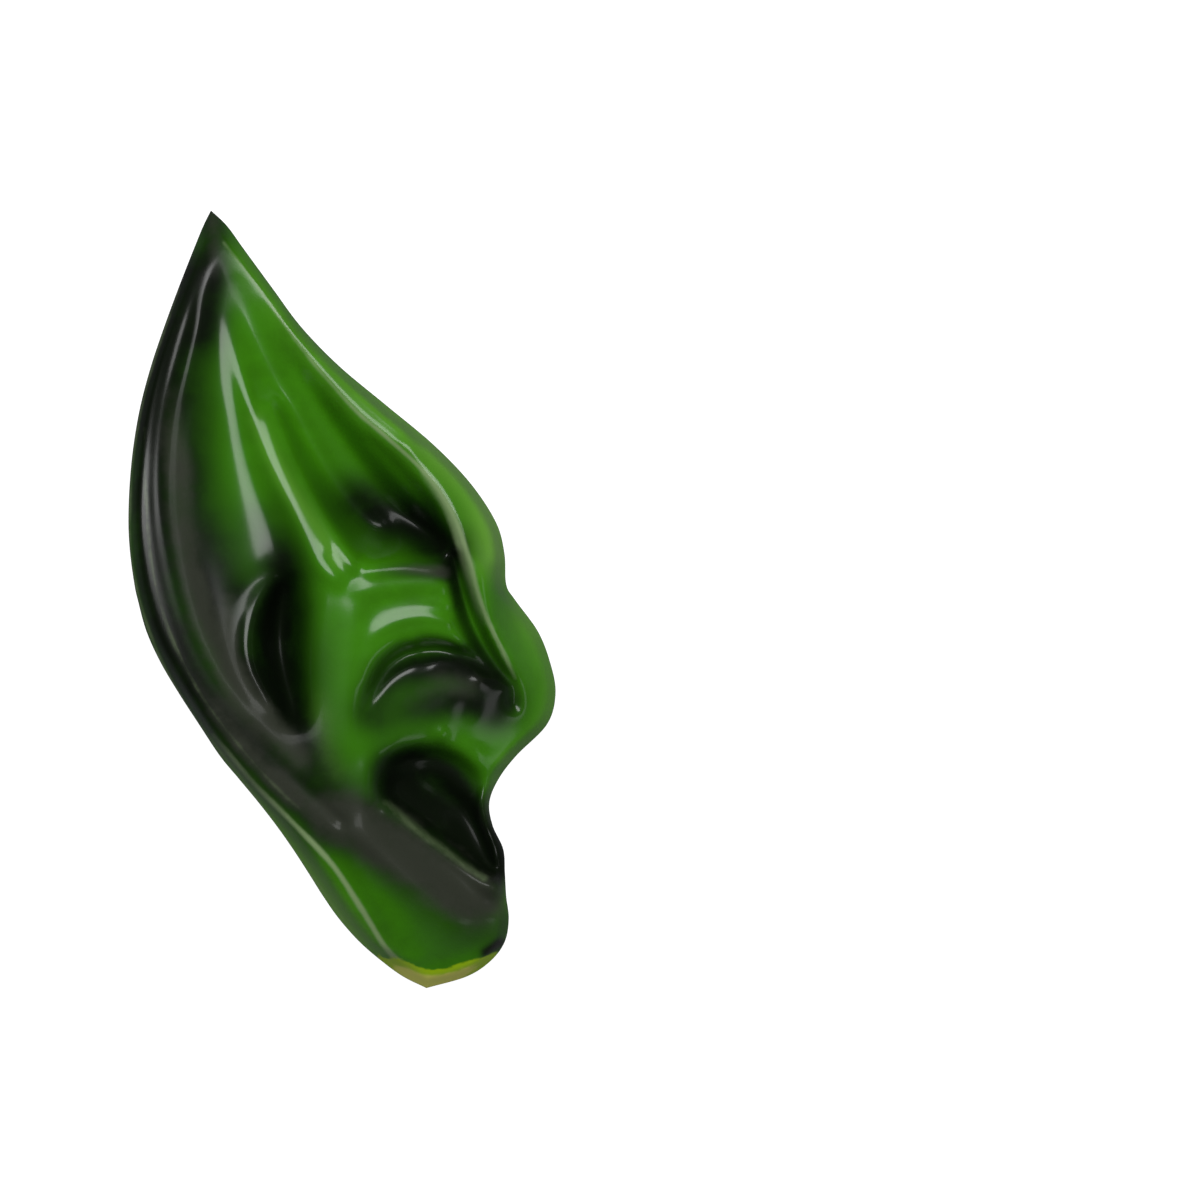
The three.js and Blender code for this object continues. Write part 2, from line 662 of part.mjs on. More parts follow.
// Places from one edge of the back inwards: round the turn, then along the flat
function backPlaces(edge, inner, reach) {
  const turned = edge + Math.sign(inner - edge) * Math.min(reach, Math.abs(inner - edge));
  return [...turnPlaces(edge, turned, BACK_STEPS), ...evenPlaces(turned, inner, FLAT_STEPS).slice(1)];
}

// A closed skin through rows of loops with equally many points, whose first and last loops are single points.
// Each four-sided patch is split along its shorter diagonal, so that the facets follow the folds.
function skinThrough(loops) {
  const points = loops.flat();
  const size = loops[0].length;
  const apart = (a, b) => Math.hypot(...points[a].map((value, axis) => value - points[b][axis]));
  const indices = [];
  for (let row = 0; row < loops.length - 1; row++) {
    for (let k = 0; k < size; k++) {
      const next = (k + 1) % size;
      const [a, b] = [row * size + k, row * size + next];
      const [c, d] = [a + size, b + size];
      if (apart(b, c) <= apart(a, d)) indices.push(a, c, b, b, c, d);
      else indices.push(a, c, d, a, d, b);
    }
  }
  const geometry = new THREE.BufferGeometry();
  geometry.setAttribute("position", new THREE.Float32BufferAttribute(points.flat(), 3));
  geometry.setIndex(indices);
  return geometry;
}

// The whole outside: the face from left to right, then the back from right to left
function outsideLoops() {
  const shares = stationShares(FACE_BANDS, 0, 1);
  return shares.map((share, row) => {
    const y = downToY(share);
    const station = stationAt(y);
    const { left, right, leftRim, rightRim } = station;
    const middle = (left + right) / 2;
    const [leftReach, rightReach] = backReaches(y, station);
    const face = facePlaces(left, right, FACE_COLUMNS).map((x) => [x, y, faceHeight(x, y)]);
    face[0] = [left, y, leftRim];
    face[face.length - 1] = [right, y, rightRim];
    const fromRight = backPlaces(right, middle, rightReach).slice(1);
    const fromLeft = backPlaces(left, middle, leftReach).slice(1, -1).reverse();
    const back = [...fromRight, ...fromLeft].map((x) => [x, y, backHeight(x, y)]);
    const loop = [...face, ...back];
    return row === 0 || row === shares.length - 1 ? loop.map(() => face[0]) : loop;
  });
}

// Where the inner outline closes to nothing, going from one station towards another
function closingShare(open, shut) {
  for (let k = 0; k < CLOSING_STEPS; k++) {
    const middle = (open + shut) / 2;
    const { left, right } = innerStationAt(downToY(middle));
    if (right > left) open = middle;
    else shut = middle;
  }
  return open;
}

// The hollow: its roof from left to right, then its floor from right to left, broken by the mouth
function hollowLoops() {
  const shares = stationShares(HOLLOW_BANDS, closingShare(0.5, HOLLOW_FROM), closingShare(0.9, 1));
  return shares.map((share, row) => {
    const y = downToY(share);
    const station = innerStationAt(y);
    const { left, right, leftRim, rightRim } = station;
    const isOpen = share > MOUTH_TOP;
    const [, mouthLeft, mouthRight] = lookUp(mouthRows, share);
    const mouthTo = THREE.MathUtils.clamp(acrossToX(mouthRight), left, right);
    const mouthFrom = THREE.MathUtils.clamp(acrossToX(mouthLeft), left, mouthTo);
    const floorAt = (x) => {
      if (x <= left) return leftRim;
      if (x >= right) return rightRim;
      return hollowFloorHeight(x, y);
    };
    const roofAt = (x) => {
      if (x <= left) return leftRim;
      if (x >= right) return rightRim;
      return Math.max(roofHeight(x, y), isOpen && x > mouthFrom ? -MOUTH_DROP : floorAt(x) + LEAST_HOLLOW);
    };
    const [leftReach, rightReach] = backReaches(y, station);
    const loop = [
      ...facePlaces(left, right, HOLLOW_COLUMNS).map((x) => [x, y, roofAt(x)]),
      ...backPlaces(right, mouthTo, rightReach).slice(1).map((x) => [x, y, floorAt(x)]),
      ...[mouthTo, mouthFrom].map((x) => [x, y, isOpen ? -MOUTH_DROP : floorAt(x)]),
      ...backPlaces(left, mouthFrom, leftReach).slice(1).reverse().map((x) => [x, y, floorAt(x)]),
    ];
    if (row > 0 && row < shares.length - 1) return loop;
    return loop.map(() => [(left + right) / 2, y, isOpen ? -MOUTH_DROP : leftRim]);
  });
}

const wasm = await Module();
wasm.setup();

// A closed skin as a solid, with shared vertices merged and collapsed triangles dropped
function toSolid(geometry) {
  const merged = mergeVertices(geometry, MERGE_WITHIN);
  const index = merged.index.array;
  const kept = [];
  for (let i = 0; i < index.length; i += 3) {
    const [a, b, c] = [index[i], index[i + 1], index[i + 2]];
    if (a !== b && b !== c && a !== c) kept.push(a, b, c);
  }
  const mesh = new wasm.Mesh({
    numProp: 3,
    vertProperties: merged.attributes.position.array,
    triVerts: new Uint32Array(kept),
  });
  return new wasm.Manifold(mesh);
}

function toGeometry(solid) {
  const mesh = solid.getMesh();
  const geometry = new THREE.BufferGeometry();
  geometry.setAttribute("position", new THREE.BufferAttribute(mesh.vertProperties, 3));
  geometry.setIndex(new THREE.BufferAttribute(mesh.triVerts, 1));
  geometry.computeVertexNormals();
  return geometry;
}

function buildShell() {
  const outside = toSolid(skinThrough(outsideLoops()));
  const hollow = toSolid(skinThrough(hollowLoops()));
  const latex = new THREE.MeshStandardMaterial({ color: 0x2c6a0c, roughness: 0.32, metalness: 0 });
  const shell = new THREE.Mesh(toGeometry(outside.subtract(hollow)), latex);
  shell.name = "ear_shell";
  return shell;
}

const ear = new THREE.Group();
ear.add(buildShell());

export default ear;
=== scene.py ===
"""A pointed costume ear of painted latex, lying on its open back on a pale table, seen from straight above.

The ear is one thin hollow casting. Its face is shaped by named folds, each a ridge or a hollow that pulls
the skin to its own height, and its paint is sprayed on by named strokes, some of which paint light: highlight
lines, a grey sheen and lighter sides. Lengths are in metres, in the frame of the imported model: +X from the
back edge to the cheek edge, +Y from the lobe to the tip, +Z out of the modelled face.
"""

from __future__ import annotations

import logging
import math
from dataclasses import dataclass, field
from enum import Enum

import bmesh
import bpy
import numpy as np
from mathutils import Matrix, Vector


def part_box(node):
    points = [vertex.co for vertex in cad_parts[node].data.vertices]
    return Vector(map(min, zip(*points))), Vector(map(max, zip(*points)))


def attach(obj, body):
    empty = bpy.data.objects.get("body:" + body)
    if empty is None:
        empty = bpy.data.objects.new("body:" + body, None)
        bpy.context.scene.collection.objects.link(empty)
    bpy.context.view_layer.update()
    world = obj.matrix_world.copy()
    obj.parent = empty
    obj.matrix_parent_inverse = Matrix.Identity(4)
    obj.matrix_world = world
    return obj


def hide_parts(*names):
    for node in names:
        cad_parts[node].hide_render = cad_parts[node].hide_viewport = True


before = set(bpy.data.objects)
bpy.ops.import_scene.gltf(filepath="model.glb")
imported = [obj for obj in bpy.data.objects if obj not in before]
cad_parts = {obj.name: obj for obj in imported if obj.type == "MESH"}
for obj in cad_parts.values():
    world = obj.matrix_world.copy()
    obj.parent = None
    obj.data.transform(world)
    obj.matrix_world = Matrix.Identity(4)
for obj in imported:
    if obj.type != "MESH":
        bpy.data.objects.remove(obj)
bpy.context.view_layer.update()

log = logging.getLogger("costume_ear")

Path = tuple[tuple[float, float, float], ...]


@dataclass(frozen=True)
class Station:
    """The outline at one place down the ear, in shares.

    Args:
        down: Share of the length from the tip.
        left: Back edge, a share of the width.
        right: Front edge, a share of the width.
        left_rim: Height of the back edge, a share of the depth.
        right_rim: Height of the front edge, a share of the depth.
    """

    down: float
    left: float
    right: float
    left_rim: float = 0.0
    right_rim: float = 0.0


@dataclass(frozen=True)
class Fold:
    """A ridge or a hollow of the face.

    Args:
        name: What it is on a real ear. Not used by the code; only a label.
        breadth: How broad its crest or floor is, a share of the width.
        path: Points of (across, down, lift), shares of the width, the length and the depth.
    """

    name: str
    breadth: float
    path: Path


@dataclass(frozen=True)
class Dimple:
    """A small bump, or where height is negative a small dent, on top of the folds.

    Args:
        across: Place, a share of the width.
        down: Place, a share of the length.
        radius: Size in metres.
        height: Height in metres.
    """

    across: float
    down: float
    radius: float
    height: float


@dataclass(frozen=True)
class Stroke:
    """One pass of the airbrush.

    Args:
        name: What it shades. Not used by the code; only a label.
        breadth: Half-width of the spray, a share of the width.
        path: Points of (across, down, strength).
    """

    name: str
    breadth: float
    path: Path


OUTLINE = (
    Station(0.0, 0.19, 0.19, 0.3, 0.3),
    Station(0.02, 0.172, 0.228, 0.31, 0.31),
    Station(0.05, 0.15, 0.268, 0.34, 0.33),
    Station(0.1, 0.115, 0.335, 0.39, 0.34),
    Station(0.15, 0.082, 0.403, 0.43, 0.34),
    Station(0.2, 0.052, 0.492, 0.47, 0.34),
    Station(0.25, 0.028, 0.602, 0.5, 0.34),
    Station(0.3, 0.012, 0.712, 0.52, 0.34),
    Station(0.35, 0.003, 0.8, 0.54, 0.33),
    Station(0.4, 0.0, 0.86, 0.55, 0.3),
    Station(0.44, 0.004, 0.88, 0.55, 0.26),
    Station(0.48, 0.014, 0.884, 0.55, 0.2),
    Station(0.5, 0.022, 0.905, 0.55, 0.14),
    Station(0.54, 0.042, 0.958, 0.54, 0.08),
    Station(0.58, 0.075, 0.987, 0.52, 0.05),
    Station(0.62, 0.118, 1.0, 0.49, 0.04),
    Station(0.66, 0.165, 0.98, 0.46, 0.04),
    Station(0.7, 0.213, 0.908, 0.42, 0.05),
    Station(0.73, 0.258, 0.866, 0.39, 0.07),
    Station(0.76, 0.303, 0.844, 0.36, 0.13),
    Station(0.79, 0.345, 0.852, 0.33, 0.16),
    Station(0.82, 0.383, 0.877, 0.29, 0.19),
    Station(0.85, 0.418, 0.881, 0.25, 0.22),
    Station(0.88, 0.452, 0.884, 0.21, 0.22),
    Station(0.91, 0.49, 0.89, 0.17, 0.2),
    Station(0.94, 0.538, 0.88, 0.12, 0.15),
    Station(0.965, 0.59, 0.846, 0.08, 0.09),
    Station(0.985, 0.64, 0.79, 0.05, 0.05),
    Station(1.0, 0.695, 0.695, 0.03, 0.03),
)

MOUTH = (
    Station(0.46, 0.66, 0.66),
    Station(0.475, 0.56, 0.76),
    Station(0.5, 0.48, 0.83),
    Station(0.54, 0.42, 0.95),
    Station(0.6, 0.39, 1.0),
    Station(0.68, 0.41, 1.0),
    Station(0.76, 0.46, 1.0),
    Station(0.84, 0.52, 1.0),
    Station(0.91, 0.59, 1.0),
    Station(0.96, 0.65, 1.0),
    Station(1.0, 0.7, 1.0),
)

FOLDS = (
    Fold("back rim crest", 0.028, (
        (0.197, 0.022, 0.37), (0.168, 0.06, 0.43), (0.135, 0.105, 0.475), (0.1, 0.16, 0.52),
        (0.068, 0.235, 0.58), (0.048, 0.31, 0.63), (0.042, 0.39, 0.655), (0.058, 0.46, 0.667),
        (0.098, 0.54, 0.675), (0.15, 0.602, 0.675), (0.205, 0.655, 0.668), (0.3, 0.72, 0.645),
        (0.4, 0.775, 0.61), (0.475, 0.825, 0.555), (0.54, 0.88, 0.46), (0.6, 0.94, 0.31),
    )),
    Fold("groove inside the back rim", 0.018, (
        (0.17, 0.075, 0.47), (0.14, 0.12, 0.52), (0.112, 0.17, 0.56), (0.086, 0.23, 0.605),
        (0.07, 0.29, 0.64), (0.066, 0.36, 0.662), (0.076, 0.42, 0.672), (0.098, 0.48, 0.678),
        (0.14, 0.55, 0.68), (0.19, 0.602, 0.677), (0.25, 0.643, 0.667), (0.33, 0.693, 0.646),
        (0.42, 0.741, 0.612), (0.5, 0.785, 0.565),
    )),
    Fold("ridge from the tip to the shelf", 0.03, (
        (0.204, 0.028, 0.42), (0.199, 0.05, 0.46), (0.181, 0.08, 0.505), (0.169, 0.108, 0.54),
        (0.163, 0.15, 0.58), (0.143, 0.2, 0.625), (0.12, 0.25, 0.66), (0.108, 0.3, 0.68),
        (0.106, 0.37, 0.69), (0.122, 0.44, 0.694), (0.157, 0.52, 0.7), (0.207, 0.58, 0.7),
        (0.275, 0.633, 0.695), (0.35, 0.683, 0.68), (0.43, 0.733, 0.65), (0.5, 0.773, 0.615),
    )),
    Fold("inner side of the shelf", 0.03, (
        (0.155, 0.25, 0.63), (0.15, 0.3, 0.65), (0.155, 0.38, 0.658), (0.174, 0.45, 0.653),
        (0.198, 0.505, 0.647), (0.222, 0.55, 0.643), (0.25, 0.595, 0.642), (0.295, 0.638, 0.645),
    )),
    Fold("long hollow of the scapha", 0.078, (
        (0.205, 0.09, 0.45), (0.212, 0.15, 0.48), (0.229, 0.23, 0.511), (0.253, 0.3, 0.527),
        (0.281, 0.357, 0.542), (0.311, 0.4, 0.556), (0.337, 0.437, 0.565),
    )),
    Fold("pit of the scapha", 0.035, (
        (0.362, 0.485, 0.4), (0.358, 0.52, 0.32), (0.358, 0.56, 0.3), (0.372, 0.605, 0.34),
        (0.395, 0.645, 0.43),
    )),
    Fold("lip of the pit", 0.022, (
        (0.338, 0.478, 0.6), (0.313, 0.497, 0.632), (0.292, 0.525, 0.663), (0.281, 0.56, 0.686),
        (0.291, 0.592, 0.698), (0.32, 0.62, 0.7), (0.345, 0.64, 0.69),
    )),
    Fold("back edge of the upper crus", 0.03, (
        (0.222, 0.135, 0.495), (0.252, 0.192, 0.54), (0.29, 0.258, 0.595), (0.335, 0.324, 0.645),
        (0.396, 0.39, 0.695), (0.45, 0.45, 0.732), (0.49, 0.475, 0.742),
    )),
    Fold("dip along the upper crus", 0.02, (
        (0.318, 0.262, 0.578), (0.357, 0.322, 0.624), (0.415, 0.386, 0.67), (0.465, 0.437, 0.718),
    )),
    Fold("front edge of the upper crus", 0.024, (
        (0.335, 0.25, 0.57), (0.381, 0.31, 0.615), (0.442, 0.376, 0.668), (0.495, 0.427, 0.71),
        (0.53, 0.459, 0.725),
    )),
    Fold("antihelix", 0.06, (
        (0.478, 0.49, 0.724), (0.452, 0.53, 0.705), (0.436, 0.57, 0.697), (0.43, 0.61, 0.69),
        (0.44, 0.67, 0.68), (0.47, 0.72, 0.665), (0.52, 0.755, 0.642),
    )),
    Fold("front of the antihelix", 0.05, (
        (0.52, 0.505, 0.7), (0.515, 0.57, 0.69), (0.515, 0.63, 0.681), (0.525, 0.69, 0.664),
    )),
    Fold("lower crus", 0.026, (
        (0.56, 0.463, 0.715), (0.61, 0.459, 0.69), (0.66, 0.458, 0.675), (0.73, 0.462, 0.65),
    )),
    Fold("triangular hollow", 0.04, (
        (0.25, 0.085, 0.435), (0.3, 0.16, 0.41), (0.375, 0.25, 0.365), (0.45, 0.33, 0.31),
        (0.53, 0.388, 0.24), (0.6, 0.41, 0.2),
    )),
    Fold("front of the triangular hollow", 0.04, (
        (0.285, 0.095, 0.435), (0.35, 0.16, 0.41), (0.44, 0.24, 0.365), (0.53, 0.315, 0.3),
        (0.61, 0.37, 0.235), (0.69, 0.405, 0.19), (0.735, 0.425, 0.2),
    )),
    Fold("ledge in the triangular hollow", 0.024, (
        (0.56, 0.295, 0.49), (0.615, 0.323, 0.49), (0.66, 0.35, 0.47), (0.714, 0.388, 0.41),
    )),
    Fold("front rim crest", 0.046, (
        (0.209, 0.028, 0.4), (0.222, 0.0425, 0.43), (0.275, 0.08, 0.47), (0.336, 0.125, 0.51),
        (0.396, 0.171, 0.545), (0.457, 0.212, 0.575), (0.533, 0.258, 0.605), (0.605, 0.292, 0.63),
        (0.699, 0.34, 0.665), (0.76, 0.39, 0.685), (0.798, 0.4485, 0.685), (0.82, 0.494, 0.645),
        (0.845, 0.53, 0.59), (0.876, 0.566, 0.51), (0.905, 0.6, 0.42), (0.923, 0.645, 0.3),
    )),
    Fold("groove outside the front rim", 0.014, (
        (0.29, 0.0715, 0.43), (0.351, 0.117, 0.474), (0.4265, 0.171, 0.514), (0.5024, 0.2207, 0.548),
        (0.5706, 0.258, 0.58), (0.645, 0.291, 0.612),
    )),
    Fold("inner side of the front rim", 0.03, (
        (0.263, 0.088, 0.45), (0.324, 0.133, 0.487), (0.384, 0.179, 0.522), (0.445, 0.22, 0.552),
        (0.521, 0.266, 0.582), (0.593, 0.3, 0.607), (0.685, 0.348, 0.642), (0.744, 0.396, 0.66),
        (0.779, 0.452, 0.655),
    )),
    Fold("front shoulder", 0.03, (
        (0.7, 0.305, 0.585), (0.77, 0.345, 0.6), (0.825, 0.395, 0.59), (0.85, 0.445, 0.53),
    )),
    Fold("crease behind the front rim", 0.018, (
        (0.765, 0.44, 0.36), (0.775, 0.475, 0.32), (0.795, 0.51, 0.28), (0.825, 0.55, 0.25),
        (0.865, 0.585, 0.22), (0.9, 0.61, 0.2), (0.905, 0.64, 0.19),
    )),
    Fold("cheek flange", 0.05, (
        (0.9, 0.515, 0.26), (0.945, 0.56, 0.22), (0.965, 0.61, 0.2), (0.95, 0.66, 0.2), (0.9, 0.69, 0.26),
        (0.855, 0.72, 0.33),
    )),
    Fold("under the lower crus", 0.026, (
        (0.53, 0.488, 0.703), (0.58, 0.482, 0.679), (0.64, 0.479, 0.658), (0.7, 0.479, 0.645),
        (0.755, 0.484, 0.63),
    )),
    Fold("hollow between crus and arch", 0.018, (
        (0.56, 0.527, 0.661), (0.612, 0.508, 0.641), (0.69, 0.499, 0.628), (0.76, 0.506, 0.612),
    )),
    Fold("upper side of the arch", 0.018, (
        (0.553, 0.562, 0.664), (0.577, 0.547, 0.666), (0.62, 0.53, 0.656), (0.69, 0.522, 0.643),
        (0.755, 0.53, 0.627),
    )),
    Fold("arch over the upper bowl", 0.02, (
        (0.545, 0.605, 0.665), (0.56, 0.576, 0.664), (0.59, 0.556, 0.652), (0.633, 0.543, 0.64),
        (0.69, 0.537, 0.632), (0.75, 0.543, 0.612), (0.788, 0.557, 0.58),
    )),
    Fold("crease of the upper bowl", 0.014, (
        (0.552, 0.655, 0.62), (0.572, 0.618, 0.54), (0.607, 0.587, 0.48), (0.66, 0.568, 0.44),
        (0.72, 0.563, 0.43), (0.79, 0.572, 0.4), (0.85, 0.592, 0.33),
    )),
    Fold("fold under the crease", 0.02, (
        (0.558, 0.668, 0.6), (0.593, 0.638, 0.56), (0.645, 0.606, 0.53), (0.717, 0.584, 0.515),
    )),
    Fold("hollow under that fold", 0.03, (
        (0.6, 0.665, 0.56), (0.65, 0.642, 0.515), (0.7, 0.62, 0.49), (0.76, 0.602, 0.46),
    )),
    Fold("crus of the helix", 0.04, (
        (0.64, 0.672, 0.52), (0.7, 0.655, 0.49), (0.76, 0.64, 0.465), (0.82, 0.628, 0.43),
        (0.865, 0.63, 0.36),
    )),
    Fold("upper lip of the bowl", 0.03, (
        (0.6, 0.692, 0.61), (0.64, 0.682, 0.54), (0.69, 0.678, 0.48), (0.74, 0.68, 0.44),
        (0.795, 0.692, 0.4), (0.825, 0.71, 0.37),
    )),
    Fold("foot of the upper wall", 0.026, (
        (0.628, 0.712, 0.4), (0.66, 0.705, 0.31), (0.72, 0.703, 0.26), (0.775, 0.717, 0.24),
        (0.803, 0.745, 0.24),
    )),
    Fold("floor of the deep bowl", 0.07, (
        (0.65, 0.725, 0.27), (0.69, 0.748, 0.2), (0.745, 0.772, 0.16), (0.79, 0.796, 0.14),
        (0.83, 0.82, 0.13),
    )),
    Fold("foot of the antitragus wall", 0.03, (
        (0.612, 0.735, 0.36), (0.63, 0.757, 0.29), (0.67, 0.775, 0.24), (0.725, 0.799, 0.21),
        (0.79, 0.825, 0.19), (0.845, 0.848, 0.2),
    )),
    Fold("back lip of the bowl", 0.045, ((0.575, 0.7, 0.65), (0.567, 0.73, 0.65), (0.578, 0.755, 0.645))),
    Fold("antitragus lip", 0.022, (
        (0.6, 0.763, 0.665), (0.64, 0.782, 0.645), (0.7, 0.807, 0.61), (0.77, 0.835, 0.565),
        (0.84, 0.861, 0.51), (0.872, 0.868, 0.47),
    )),
    Fold("tragus wall", 0.018, (
        (0.862, 0.735, 0.36), (0.838, 0.76, 0.38), (0.845, 0.785, 0.37), (0.862, 0.81, 0.35),
        (0.872, 0.838, 0.33),
    )),
    Fold("lobe", 0.12, (
        (0.56, 0.795, 0.636), (0.64, 0.84, 0.607), (0.72, 0.875, 0.56), (0.79, 0.905, 0.5),
        (0.83, 0.922, 0.45),
    )),
    Fold("furrow beside the lobe", 0.035, (
        (0.53, 0.835, 0.57), (0.585, 0.88, 0.49), (0.635, 0.925, 0.38), (0.68, 0.955, 0.26),
    )),
    Fold("foot of the lobe", 0.03, (
        (0.69, 0.975, 0.2), (0.75, 0.972, 0.23), (0.82, 0.955, 0.28), (0.86, 0.93, 0.34), (0.872, 0.9, 0.4),
    )),
)

DIMPLES = (
    Dimple(0.668, 0.555, 0.0011, 0.0005),
    Dimple(0.735, 0.672, 0.0013, 0.0007),
    Dimple(0.823, 0.602, 0.0012, 0.0005),
    Dimple(0.885, 0.613, 0.001, 0.0004),
    Dimple(0.7, 0.575, 0.0018, -0.0006),
    Dimple(0.79, 0.64, 0.002, -0.0006),
)

BLACK_STROKES = (
    Stroke("tip", 0.05, ((0.19, 0.0, 0.85), (0.195, 0.05, 0.8), (0.18, 0.1, 0.75), (0.17, 0.15, 0.6))),
    Stroke("back rim", 0.065, (
        (0.14, 0.09, 0.75), (0.1, 0.16, 0.88), (0.06, 0.24, 1.0), (0.05, 0.3, 1.0), (0.05, 0.4, 1.0),
        (0.07, 0.5, 1.0), (0.13, 0.58, 1.0), (0.2, 0.64, 1.0), (0.28, 0.69, 1.0), (0.37, 0.74, 0.95),
        (0.47, 0.785, 0.9),
    )),
    Stroke("shelf", 0.07, (
        (0.12, 0.26, 0.7), (0.13, 0.38, 0.85), (0.17, 0.48, 1.0), (0.25, 0.58, 1.0), (0.33, 0.65, 1.0),
    )),
    Stroke("scapha", 0.09, (
        (0.16, 0.1, 0.8), (0.155, 0.17, 0.75), (0.16, 0.25, 0.5), (0.175, 0.33, 0.4), (0.21, 0.42, 0.55),
        (0.25, 0.5, 0.8),
    )),
    Stroke("foot of the scapha", 0.07, (
        (0.33, 0.4, 0.5), (0.36, 0.45, 0.9), (0.355, 0.5, 1.0), (0.345, 0.56, 1.0), (0.355, 0.62, 1.0),
        (0.4, 0.68, 0.9), (0.46, 0.73, 0.6),
    )),
    Stroke("antihelix", 0.07, ((0.42, 0.52, 0.3), (0.43, 0.58, 0.5), (0.44, 0.65, 0.35), (0.47, 0.71, 0.2))),
    Stroke("triangular hollow", 0.085, (
        (0.42, 0.33, 0.2), (0.5, 0.36, 0.5), (0.58, 0.38, 0.6), (0.68, 0.4, 0.6),
    )),
    Stroke("triangular pit", 0.055, (
        (0.55, 0.375, 0.7), (0.6, 0.395, 1.0), (0.66, 0.405, 1.0), (0.71, 0.42, 1.0), (0.755, 0.435, 1.0),
    )),
    Stroke("lower crus", 0.022, ((0.6, 0.463, 0.35), (0.66, 0.462, 0.7), (0.74, 0.465, 0.85))),
    Stroke("behind the front rim", 0.018, (
        (0.745, 0.43, 0.85), (0.765, 0.48, 0.9), (0.79, 0.53, 0.75), (0.835, 0.575, 0.65), (0.88, 0.61, 0.55),
    )),
    Stroke("upper bowl", 0.055, (
        (0.56, 0.64, 0.5), (0.61, 0.6, 0.8), (0.69, 0.585, 0.95), (0.77, 0.585, 1.0), (0.84, 0.605, 1.0),
        (0.88, 0.63, 0.8),
    )),
    Stroke("crus of the helix", 0.06, (
        (0.6, 0.65, 0.5), (0.7, 0.635, 0.75), (0.78, 0.63, 0.85), (0.85, 0.64, 0.8),
    )),
    Stroke("deep bowl", 0.06, (
        (0.62, 0.715, 0.95), (0.67, 0.71, 1.0), (0.73, 0.72, 1.0), (0.78, 0.75, 1.0), (0.83, 0.8, 1.0),
        (0.86, 0.84, 0.9),
    )),
    Stroke("floor of the bowl", 0.06, (
        (0.64, 0.735, 1.0), (0.7, 0.76, 1.0), (0.77, 0.79, 1.0), (0.84, 0.83, 1.0),
    )),
    Stroke("foot of the antitragus", 0.03, (
        (0.62, 0.745, 1.0), (0.69, 0.778, 1.0), (0.78, 0.81, 1.0), (0.86, 0.845, 1.0),
    )),
    Stroke("lobe", 0.08, (
        (0.5, 0.777, 1.0), (0.6, 0.82, 1.0), (0.7, 0.855, 1.0), (0.79, 0.89, 1.0), (0.85, 0.92, 0.6),
    )),
    Stroke("under the antitragus", 0.042, (
        (0.56, 0.777, 1.0), (0.62, 0.799, 1.0), (0.7, 0.83, 1.0), (0.78, 0.864, 1.0), (0.84, 0.89, 0.7),
    )),
    Stroke("edge of the lobe", 0.012, ((0.835, 0.952, 0.9), (0.868, 0.94, 1.0))),
)

# Matte charcoal where the black lacks its sealer; its grey colour is also a painted sheen, the lamps' soft
# reflection on the matte black.
DULL_AND_SHEEN_STROKES = (
    Stroke("tip", 0.03, ((0.19, 0.0, 0.7), (0.2, 0.05, 0.6), (0.2, 0.08, 0.4))),
    Stroke("back rim", 0.03, (
        (0.14, 0.58, 0.3), (0.2, 0.64, 0.7), (0.28, 0.695, 0.9), (0.38, 0.745, 1.0), (0.5, 0.79, 1.0),
    )),
    Stroke("shelf", 0.042, (
        (0.1, 0.24, 0.5), (0.113, 0.3, 0.9), (0.12, 0.36, 0.95), (0.14, 0.44, 1.0), (0.18, 0.53, 1.0),
        (0.245, 0.6, 1.0), (0.32, 0.655, 1.0), (0.4, 0.7, 0.8),
    )),
    Stroke("beside the pit", 0.03, (
        (0.235, 0.5, 0.7), (0.235, 0.55, 1.0), (0.26, 0.61, 1.0), (0.32, 0.65, 1.0),
    )),
    Stroke("lower crus", 0.022, ((0.58, 0.463, 0.5), (0.66, 0.462, 1.0), (0.74, 0.465, 1.0))),
    Stroke("crus of the helix", 0.04, ((0.64, 0.635, 0.4), (0.72, 0.605, 0.75), (0.8, 0.61, 0.75))),
    Stroke("lobe", 0.095, (
        (0.5, 0.777, 1.0), (0.6, 0.82, 1.0), (0.7, 0.855, 1.0), (0.79, 0.89, 1.0), (0.85, 0.92, 0.8),
    )),
    Stroke("under the antitragus", 0.04, (
        (0.56, 0.782, 0.8), (0.62, 0.804, 1.0), (0.7, 0.835, 1.0), (0.78, 0.868, 1.0), (0.84, 0.893, 0.8),
    )),
)

